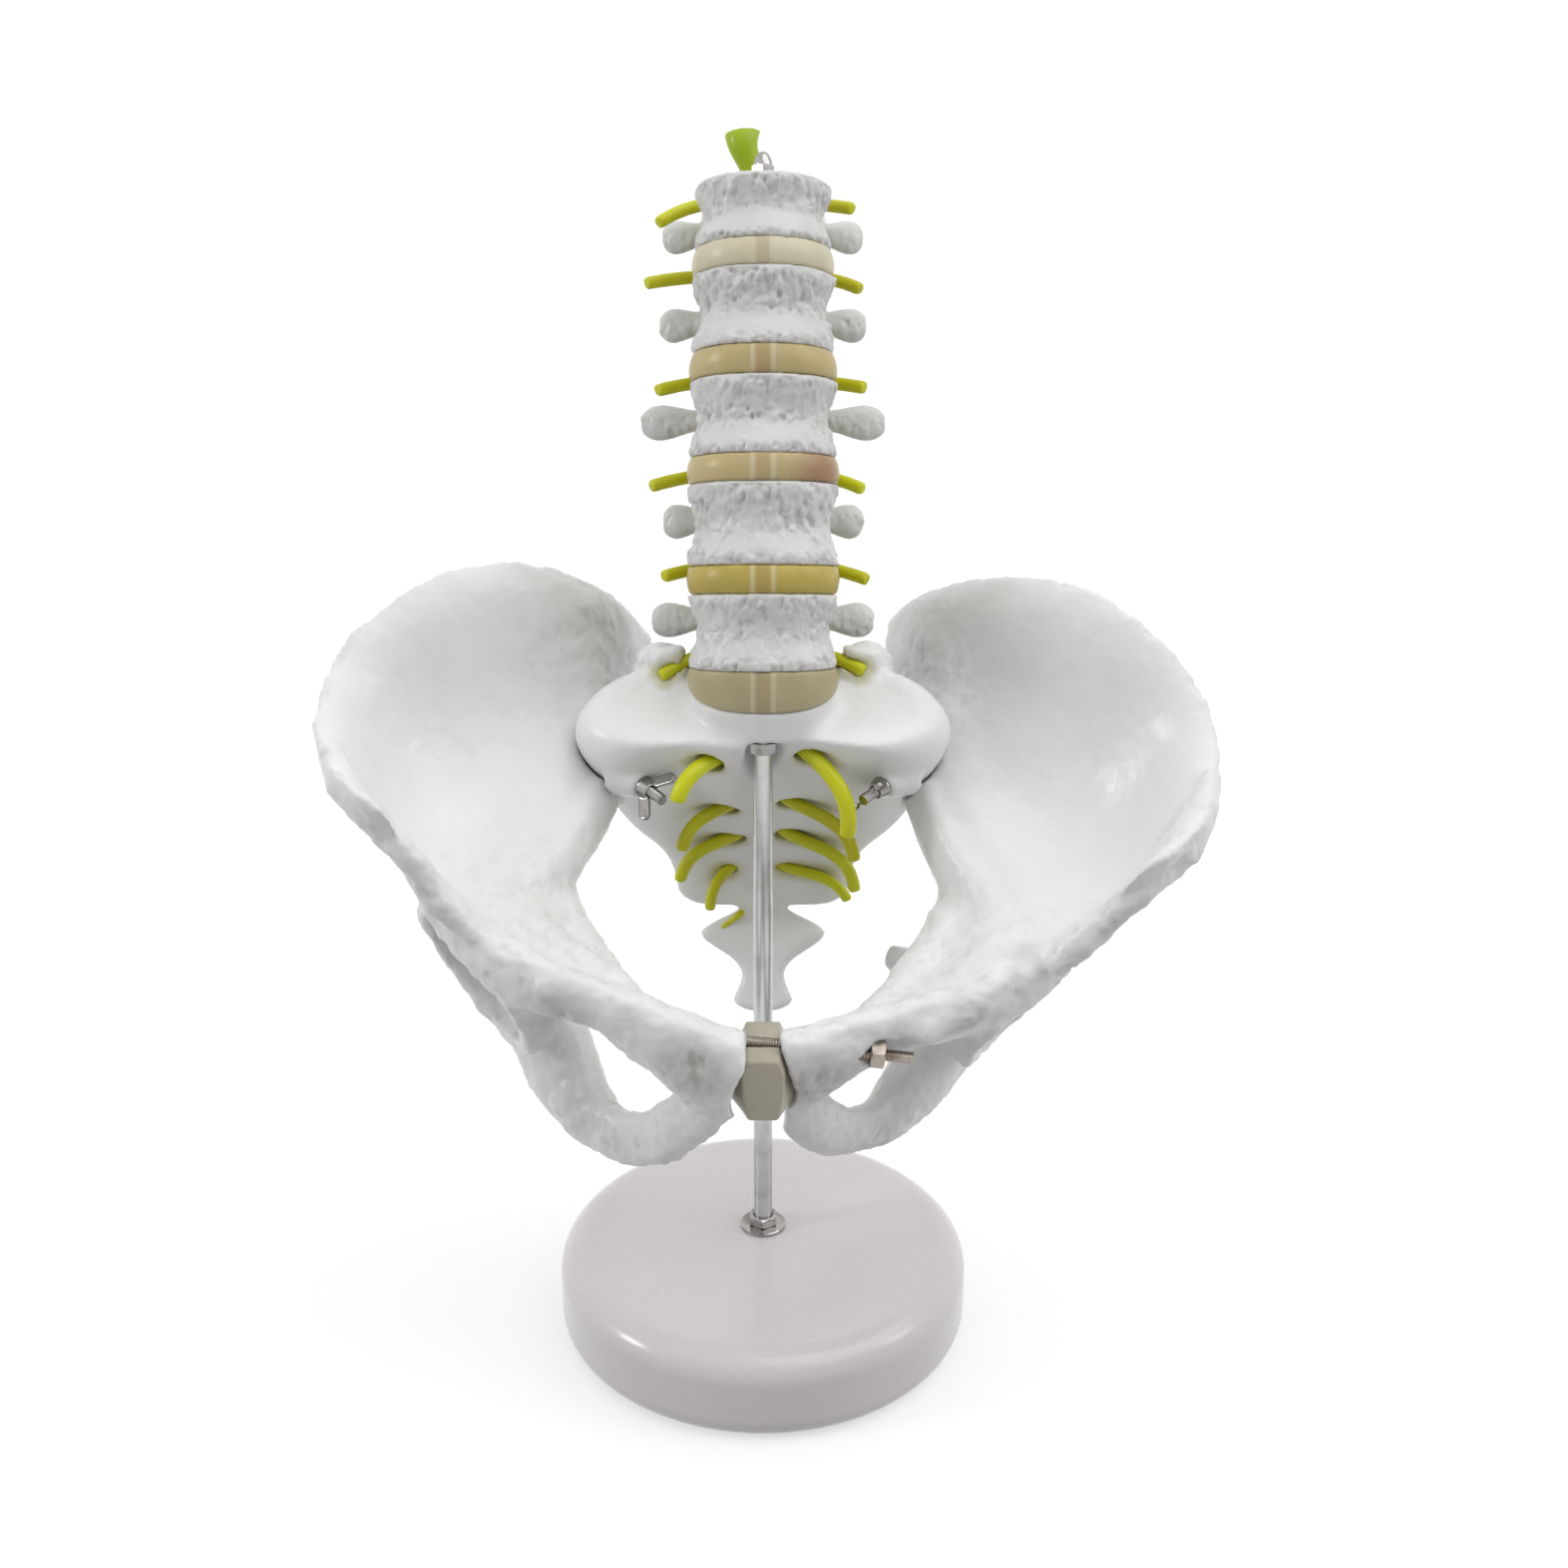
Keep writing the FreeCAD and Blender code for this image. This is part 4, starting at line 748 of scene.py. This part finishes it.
HIP_ZONES = {
    "hip_bone_left": [
        ((-118, -58, 219), 14, 0.5), ((-105, -62, 202), 13, 0.6), ((-99, -62, 190), 11, 0.55),
        ((-65, -73, 166), 13, 0.9), ((-22, -81, 150), 14, 1.2), ((-56, -35, 112), 28, 0.55),
        ((-56, 55, 245), 24, 0.45), ((-131, -30, 238), 9, 0.3), ((-96, -38, 156), 16, 0.8)],
    "hip_bone_right": [
        ((133, -48, 204), 14, 0.5), ((112, -58, 190), 14, 0.65), ((97, -58, 173), 11, 0.6),
        ((66, -66, 157), 13, 0.8), ((18, -71, 138), 14, 1.1), ((44, -25, 98), 28, 0.6),
        ((54, 53, 228), 24, 0.4), ((86, 34, 235), 26, 0.3), ((128, -34, 214), 10, 0.45)]}
WING_FOOT = {"hip_bone_left": (178 * MM, 206 * MM), "hip_bone_right": (164 * MM, 190 * MM)}
for name, balls in HIP_CLAY.items():
    print("clay balls of", name, len(balls))

# %% [markdown]
# Each bone now takes its clay, its smoothing and its relief. Many rounds in the
# creases smooth the joins of the clay away, and few rounds keep the wing's edges.

# %% Sculpt the hip bones
HIP_VOXEL = 1.1
for side, name in ((-1, "hip_bone_left"), (1, "hip_bone_right")):
    mesh = even_skin(name, HIP_VOXEL, HIP_CLAY[name])
    points = soften(mesh, 70, 4)[0]
    # Painted shade: grey in the zones and in the dips of the skin, where shade falls.
    rough, painted_shade = spot_shares(points, HIP_ZONES[name])
    crest = read(mesh.attributes["rough"].data, "value", 1)[:, 0]
    dips = read(mesh.attributes["hollow"].data, "value", 1)[:, 0]
    below = 0.55 * (1.0 - smooth_share(points[:, 2], *WING_FOOT[name]))
    store(mesh, "rough", np.maximum(np.maximum(rough, 0.6 * crest), below))
    store(mesh, "hollow", np.maximum(painted_shade, 0.8 * dips))
    mesh = run_tree(bone_relief, name, {
        "Ridge Depth": 1.9 * MM, "Ridge Scale": 210.0, "Upright Stretch": 0.7, "Pit Depth": 1.1 * MM,
        "Lump Depth": 2.8 * MM, "Lump Scale": 80.0, "Least Rough": 0.05, "Seed": 20.0 + side,
        "Material": bone_finish}, mesh)
    fitted(piece_of(mesh, name.replace("bone", "cast")), "bone_plastic", bone_finish, name)

# %% [markdown]
# ## Rubber pieces
# Discs, symphysis block and nerves are soft mouldings, so their edges are
# rounded and they have no bone relief. The cut stump of the nerves leans a little
# to the left, and one short nerve end lies in the notch of the tail bone.

# %% Discs, symphysis and nerves
STUMP_LEAN = 4.5 * MM
STUMP_HEIGHTS = (386 * MM, 402 * MM)
DISC_VOXEL, BLOCK_VOXEL, NERVE_VOXEL = 0.7, 0.5, 0.6


def moulded(name, voxel, crease_rounds, edge_rounds, blobs=()):
    """A rounded skin over one CAD node."""
    mesh = even_skin(name, voxel, blobs)
    soften(mesh, crease_rounds, edge_rounds)
    mesh.polygons.foreach_set("use_smooth", np.ones(len(mesh.polygons), bool))
    return mesh


for level in range(1, 6):
    name = "disc_%d" % level
    piece = piece_of(moulded(name, DISC_VOXEL, 0, 1), "rubber_" + name)
    fitted(piece, "disc_rubber", disc_finishes[level], name)
piece = piece_of(moulded("symphysis_disc", BLOCK_VOXEL, 0, 3), "symphysis_block")
fitted(piece, "symphysis_rubber", symphysis_finish, "symphysis_disc")
NOTCH_END = roll((-14.5, 50.0, 132.8, 1.3), (-8.0, 50.0, 138.4, 1.7))
mesh = moulded("spinal_nerves", NERVE_VOXEL, 20, 4, NOTCH_END)
points = read(mesh.vertices, "co", 3)
points[:, 0] -= STUMP_LEAN * smooth_share(points[:, 2], *STUMP_HEIGHTS)
mesh.vertices.foreach_set("co", points.astype(np.float32).ravel())
piece = piece_of(mesh, "nerve_moulding")
fitted(piece, "nerve_rubber", nerve_finish, "spinal_nerves")

# %% [markdown]
# ## Nuts and washers
# A nut is a ring of points taken round its section: bore, face, chamfer and
# flats. The distance to a flat changes with the angle, which gives the hexagon
# and the curved edge of its chamfer in one rule.

# %% Ring pieces
TURN_STEPS = 72
turn = np.arange(TURN_STEPS) * 2.0 * math.pi / TURN_STEPS
CHAMFER_SLOPE = math.tan(math.radians(30.0))
FACE_SHARE = 0.96


def ring_mesh(name, rows, start, axis):
    """Skin over rows of (radius, height) round an axis. Zero radii close the ends."""
    shell = bmesh.new()
    loops = []
    for radii, heights in rows:
        radii = np.broadcast_to(radii, TURN_STEPS)
        heights = np.broadcast_to(heights, TURN_STEPS)
        if radii.max() == 0.0:
            loops.append([shell.verts.new((0, 0, heights[0] * MM))])
            continue
        loops.append([shell.verts.new((r * math.cos(a) * MM, r * math.sin(a) * MM, h * MM))
                      for r, h, a in zip(radii, heights, turn)])
    closed = len(loops[0]) > 1
    pairs = list(zip(loops, loops[1:] + (loops[:1] if closed else [])))
    for low, high in pairs:
        for step in range(TURN_STEPS):
            after = (step + 1) % TURN_STEPS
            corners = [low[step % len(low)], low[after % len(low)], high[after % len(high)],
                       high[step % len(high)]]
            shell.faces.new(list(dict.fromkeys(corners)))
    bmesh.ops.recalc_face_normals(shell, faces=shell.faces)
    facing = Vector(axis).normalized().to_track_quat("Z", "Y").to_matrix().to_4x4()
    shell.transform(Matrix.Translation(Vector(start) * MM) @ facing)
    mesh = bpy.data.meshes.new(name)
    shell.to_mesh(mesh)
    shell.free()
    mesh.polygons.foreach_set("use_smooth", np.ones(len(mesh.polygons), bool))
    mesh.set_sharp_from_angle(angle=math.radians(24))
    return mesh


def hexagon(flats):
    """Distance from the axis to a flat in each direction."""
    return (flats / 2.0) / np.cos((turn + math.pi / 6) % (math.pi / 3) - math.pi / 6)


def nut_rows(flats, height, bore):
    """Section rows of a hexagonal nut with both faces chamfered."""
    side = hexagon(flats)
    face = flats / 2.0 * FACE_SHARE
    drop = (side - face) * CHAMFER_SLOPE
    return [(bore, 0.3), (bore + 0.3, 0.0), (face, 0.0), (side, drop), (side, height - drop), (face, height),
            (bore + 0.3, height), (bore, height - 0.3)]


# %% [markdown]
# The two rod nuts and the washer stand upright on the lower side of their CAD
# nodes. The cap nut tilts with the top vertebra. Its dome is drawn taller than the
# solid, as it has to show over the front edge of the vertebra.

# %% Rod hardware and cap nut


def bottom_of(name):
    """Middle of a node's lower side in millimetres."""
    low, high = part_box(name)
    return Vector(((low.x + high.x) / 2, (low.y + high.y) / 2, low.z)) / MM


UP = (0, 0, 1)
ROD_NUT_BORE = 3.4
for name, flats, height in (("foot_nut", 9.4, 3.6), ("top_nut", 8.2, 4.0)):
    mesh = ring_mesh("chrome_" + name, nut_rows(flats, height, ROD_NUT_BORE), bottom_of(name), UP)
    fitted(piece_of(mesh, "chrome_" + name), "chrome", chrome_finish, name)
washer = [(3.5, 0.2), (3.7, 0.0), (7.8, 0.0), (8.1, 0.25), (8.1, 1.1), (7.8, 1.4), (3.7, 1.4), (3.5, 1.2)]
mesh = ring_mesh("chrome_washer", washer, bottom_of("foot_washer"), UP)
fitted(piece_of(mesh, "chrome_washer"), "chrome", chrome_finish, "foot_washer")

CAP_TILT = math.radians(22.5)
CAP_WAY = Vector((0, math.sin(CAP_TILT), math.cos(CAP_TILT)))
corners = [vertex.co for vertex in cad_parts["cap_nut"].data.vertices]
seat_level = min(corner.dot(CAP_WAY) for corner in corners)
seat = [corner for corner in corners if corner.dot(CAP_WAY) < seat_level + 0.01 * MM]
seat = sum(seat, Vector()) / len(seat) / MM
CAP_FLATS, CAP_HEX, CAP_DOME = 7.4, 8.0, 5.0
DOME_RADIUS, DOME_RINGS = 3.2, 8
OUTSIDE = slice(2, 6)  # the rows of a nut that lie outside its bore
dome = []
for ring in range(DOME_RINGS):
    rise = ring / DOME_RINGS * math.pi / 2
    dome.append((DOME_RADIUS * math.cos(rise), CAP_HEX + CAP_DOME * math.sin(rise)))
cap = [(0.0, 0.0)] + nut_rows(CAP_FLATS, CAP_HEX, 2.0)[OUTSIDE] + dome + [(0.0, CAP_HEX + CAP_DOME)]
mesh = ring_mesh("chrome_cap_nut", cap, seat, CAP_WAY)
fitted(piece_of(mesh, "chrome_cap_nut"), "chrome", chrome_finish, "cap_nut")
print("cap nut seat in mm", [round(value, 1) for value in seat])

# %% [markdown]
# ## Threads
# A thread follows one rule: going once round the axis climbs one pitch. The
# tree below takes a plain cylinder mesh and pulls each point in by a wave of
# its height and its angle. All the screws share one thread size.

# %% Geometry tree: threaded shank
THREAD_RADIUS, THREAD_PITCH, THREAD_DEPTH = 2.0, 0.9, 0.3
RINGS_PER_TURN = 6.0
SHANK_SIDES = 28


def threaded_shank_tree():
    tree, entry, leave = new_tree(
        "Threaded Shank", "GeometryNodeTree",
        [("Radius", FLOAT, 0.002), ("Length", FLOAT, 0.05), ("Pitch", FLOAT, 0.0008),
         ("Depth", FLOAT, 0.0003), ("Start", "NodeSocketVector", None),
         ("Turn", "NodeSocketRotation", None), ("Material", "NodeSocketMaterial", None)],
        [("Shank", "NodeSocketGeometry")])
    turns = maths(tree, "DIVIDE", entry["Length"], entry["Pitch"])
    blank = node(tree, "GeometryNodeMeshCylinder", {
        "Vertices": SHANK_SIDES, "Side Segments": maths(tree, "MULTIPLY", turns, RINGS_PER_TURN),
        "Fill Segments": 2, "Radius": entry["Radius"], "Depth": entry["Length"]}, fill_type="NGON")
    place = node(tree, "ShaderNodeSeparateXYZ", {0: node(tree, "GeometryNodeInputPosition").outputs[0]})
    angle = maths(tree, "ARCTAN2", place.outputs["Y"], place.outputs["X"])
    climb = maths(tree, "DIVIDE", place.outputs["Z"], entry["Pitch"])
    phase = maths(tree, "FRACT", maths(tree, "SUBTRACT", climb, maths(tree, "DIVIDE", angle, 2.0 * math.pi)))
    wave = maths(tree, "ABSOLUTE", maths(tree, "MULTIPLY_ADD", phase, 2.0, -1.0))
    pull = maths(tree, "MULTIPLY", maths(tree, "DIVIDE", entry["Depth"], entry["Radius"]), wave)
    shrink = maths(tree, "MULTIPLY", pull, -1.0)
    flat = node(tree, "ShaderNodeCombineXYZ", {"X": place.outputs["X"], "Y": place.outputs["Y"]}).outputs[0]
    offset = node(tree, "ShaderNodeVectorMath", {0: flat, "Scale": shrink}, operation="SCALE")
    cut = node(tree, "GeometryNodeSetPosition", {"Geometry": blank.outputs["Mesh"],
                                                 "Offset": offset.outputs[0]})
    stood = node(tree, "GeometryNodeTransform", {"Geometry": cut.outputs[0], "Translation": entry["Start"],
                                                 "Rotation": entry["Turn"]})
    real = node(tree, "GeometryNodeRealizeInstances", {"Geometry": stood.outputs[0]})
    dressed = node(tree, "GeometryNodeSetMaterial", {"Geometry": real.outputs[0],
                                                     "Material": entry["Material"]})
    tree.links.new(dressed.outputs[0], leave["Shank"])
    return tree


threaded_shank = threaded_shank_tree()
print("tree", threaded_shank.name, "with", len(threaded_shank.nodes), "nodes")


def shank(name, low, high, finish):
    """Threaded shank between two points in millimetres."""
    low, high = Vector(low) * MM, Vector(high) * MM
    facing = (high - low).to_track_quat("Z", "Y").to_euler()
    return run_tree(threaded_shank, name, {
        "Radius": THREAD_RADIUS * MM, "Pitch": THREAD_PITCH * MM, "Depth": THREAD_DEPTH * MM,
        "Length": (high - low).length, "Start": tuple((low + high) / 2), "Turn": facing,
        "Material": finish})


# %% [markdown]
# A wing screw runs from a flat domed head on the far side of each hip bone to the
# wing nut in front. The wing nut keeps the form of its solid, with rounded edges.

# %% Wing screws and wing nuts
STAND = Vector((0.0, 7.5, 33.0))
WING_WAY = Vector((-0.66, -0.72, -0.20)).normalized()
WING_SEAT = Vector((42.0, 6.2, 172.5)) + WING_WAY * 3.0 + STAND
SCREW_BACK, SCREW_FRONT = 44.0, 10.2
SCREW_HEAD = [(0.0, 0.0), (4.1, 0.0), (4.2, 0.2), (4.1, 1.2), (3.2, 2.1), (1.8, 2.4), (0.0, 2.4)]
for side, label in ((-1, "left"), (1, "right")):
    way = Vector((side * WING_WAY.x, WING_WAY.y, WING_WAY.z))
    seat = Vector((side * WING_SEAT.x, WING_SEAT.y, WING_SEAT.z))
    mesh = shank("wing_screw", seat - way * SCREW_BACK, seat + way * SCREW_FRONT, chrome_finish)
    fitted(piece_of(mesh, "wing_screw_thread_" + label), "chrome", chrome_finish, "wing_screw_" + label)
    mesh = ring_mesh("cap", SCREW_HEAD, seat - way * SCREW_BACK, way * -1.0)
    fitted(piece_of(mesh, "wing_screw_cap_" + label), "chrome", chrome_finish)
    piece = piece_of(moulded("wing_nut_" + label, 0.25, 10, 3), "cast_wing_nut_" + label)
    fitted(piece, "chrome", chrome_finish, "wing_nut_" + label)

# %% [markdown]
# One bolt holds both pubic bodies and the block between them. It slopes down to
# the right, with its head on the left and the nut and the bare end on the right.

# %% Pubic bolt and nut
BOLT_SLOPE = math.radians(6.6)
BOLT_WAY = Vector((math.cos(BOLT_SLOPE), 0.0, -math.sin(BOLT_SLOPE)))
BOLT_MIDDLE = Vector((0.0, -72.0, 117.0)) + STAND
BOLT_LEFT, BOLT_RIGHT, NUT_LEFT = -36.5, 47.0, 33.5
HEX_FLATS, HEX_HEIGHT = 8.6, 4.6


def bolt_point(across):
    """The point of the bolt's axis at this x, in millimetres."""
    return BOLT_MIDDLE + BOLT_WAY * (across / BOLT_WAY.x)


mesh = shank("pubic_bolt", bolt_point(BOLT_LEFT), bolt_point(BOLT_RIGHT), dull_finish)
fitted(piece_of(mesh, "pubic_bolt_thread"), "dull_steel", dull_finish, "pubic_bolt")
head = [(0.0, 0.0)] + nut_rows(HEX_FLATS, HEX_HEIGHT, 0.5)[OUTSIDE] + [(0.0, HEX_HEIGHT)]
mesh = ring_mesh("head", head, bolt_point(BOLT_LEFT) - BOLT_WAY * HEX_HEIGHT, BOLT_WAY)
fitted(piece_of(mesh, "pubic_bolt_head"), "dull_steel", dull_finish)
mesh = ring_mesh("nut", nut_rows(HEX_FLATS, HEX_HEIGHT, 2.1), bolt_point(NUT_LEFT), BOLT_WAY)
fitted(piece_of(mesh, "pubic_hex_nut"), "dull_steel", dull_finish, "pubic_nut")

# %% [markdown]
# ## Pieces shown as they are
# The base, the rod and the core rod are turned parts, so their CAD meshes are
# already the real shape and only take a finish.

# %% Dress the turned parts
for name, finish in (("base", base_finish), ("support_rod", rod_finish), ("core_rod", chrome_finish)):
    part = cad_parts[name]
    part.data.materials.clear()
    part.data.materials.append(finish)
    print(name, "dressed in", finish.name)

# %% [markdown]
# ## Floor, light and camera
# The model stands on a plain floor. Only the camera, mirrors and clear rubber see
# it white, so it does not light the model from below more than a grey floor does.

# %% Floor
FLOOR_HALF = 20.0
FLOOR_COLOUR = 0.42
FLOOR_CORNERS = ((-1, -1), (1, -1), (1, 1), (-1, 1))
floor_mesh = bpy.data.meshes.new("floor")
floor_mesh.from_pydata([(x * FLOOR_HALF, y * FLOOR_HALF, 0.0) for x, y in FLOOR_CORNERS],
                       [], [(0, 1, 2, 3)])
floor = piece_of(floor_mesh, "floor")
floor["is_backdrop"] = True


def seen_directly(tree):
    """1 for rays of the camera, mirrors and glass, 0 for light on the object."""
    path = node(tree, "ShaderNodeLightPath")
    seen = maths(tree, "MAXIMUM", path.outputs["Is Camera Ray"], path.outputs["Is Glossy Ray"])
    return maths(tree, "MAXIMUM", seen, path.outputs["Is Transmission Ray"])


material, tree, shader = finish_base("floor_white", Roughness=0.9)
shader.inputs["Base Color"].default_value = (FLOOR_COLOUR, FLOOR_COLOUR, FLOOR_COLOUR, 1)
glow = maths(tree, "MULTIPLY", seen_directly(tree), 1.0 - FLOOR_COLOUR)
tree.links.new(glow, shader.inputs["Emission Strength"])
shader.inputs["Emission Color"].default_value = (1, 1, 1, 1)
floor_mesh.materials.append(material)
print("floor half width in m:", FLOOR_HALF)

# %% [markdown]
# The sky is white to the camera. To the model it is darker near the horizon,
# brighter from both sides and darker in front, which gives the wings and the
# vertebrae their shaded middle. A broad soft key sun from above right and a small
# sun from each side add the direction of the light.

# %% Sky and sun
world = bpy.data.worlds.new("sky")
bpy.context.scene.world = world
world.use_nodes = True
tree = world.node_tree
tree.nodes.clear()
HORIZON_LEVEL = 0.36
ZENITH_LEVEL = 0.88
SIDE_GAIN = 0.55
FRONT_LOSS = 0.95
heading = node(tree, "ShaderNodeSeparateXYZ", {0: node(tree, "ShaderNodeTexCoord").outputs["Generated"]})
level = ramp(tree, heading.outputs["Z"], -0.1, 0.9, HORIZON_LEVEL, ZENITH_LEVEL)
sideways = maths(tree, "MULTIPLY", heading.outputs["X"], heading.outputs["X"])
forward = maths(tree, "MINIMUM", heading.outputs["Y"], 0.0)
forward = maths(tree, "MULTIPLY", forward, forward)
gain = maths(tree, "MULTIPLY_ADD", sideways, SIDE_GAIN, 1.0)
loss = maths(tree, "MULTIPLY", forward, FRONT_LOSS)
level = maths(tree, "MULTIPLY", level, maths(tree, "SUBTRACT", gain, loss))
strength = maths(tree, "MAXIMUM", level, seen_directly(tree))
background = node(tree, "ShaderNodeBackground", {"Color": (1, 1, 1, 1), "Strength": strength})
node(tree, "ShaderNodeOutputWorld", {"Surface": background.outputs[0]})


def sun(name, direction, level, softness):
    """A soft sun whose level 1 renders a facing colour as it is written."""
    lamp = bpy.data.lights.new(name, "SUN")
    lamp.energy = level * math.pi
    lamp.angle = math.radians(softness)
    made = bpy.data.objects.new(name, lamp)
    made.rotation_euler = (-Vector(direction)).to_track_quat("-Z", "Y").to_euler()
    bpy.context.scene.collection.objects.link(made)
    print("sun:", name, level)


sun("key", (0.45, -0.20, 1.0), 0.30, 60)
sun("left side", (-1.0, -0.25, 0.45), 0.20, 14)
sun("right side", (1.0, -0.15, 0.55), 0.08, 18)

# %% [markdown]
# The camera stands in front, looks down by 23 degrees and is shifted a little to
# the side, as in the reference picture. Standard view keeps colours as written.

# %% Camera
camera = bpy.data.cameras.new("camera")
camera.sensor_width = 36.0
camera.lens = 50.38
camera.shift_x = 0.01336
view = bpy.data.objects.new("camera", camera)
view.location = (0.0, -0.66428, 0.4939)
view.rotation_euler = (math.radians(66.9), 0.0, 0.0)
bpy.context.scene.collection.objects.link(view)
bpy.context.scene.camera = view
bpy.context.scene.view_settings.view_transform = "Standard"
print("camera lens in mm:", camera.lens)

# %% [markdown]
# The box round the CAD solids and the box round the finished pieces are kept side
# by side, so that both can be compared.

# %% Keep both boxes and finish
visual_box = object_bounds()
boxes = {"cad": [list(corner) for corner in cad_box], "visual": [list(corner) for corner in visual_box]}
for name, box in boxes.items():
    print(name, [[round(value, 4) for value in corner] for corner in box])
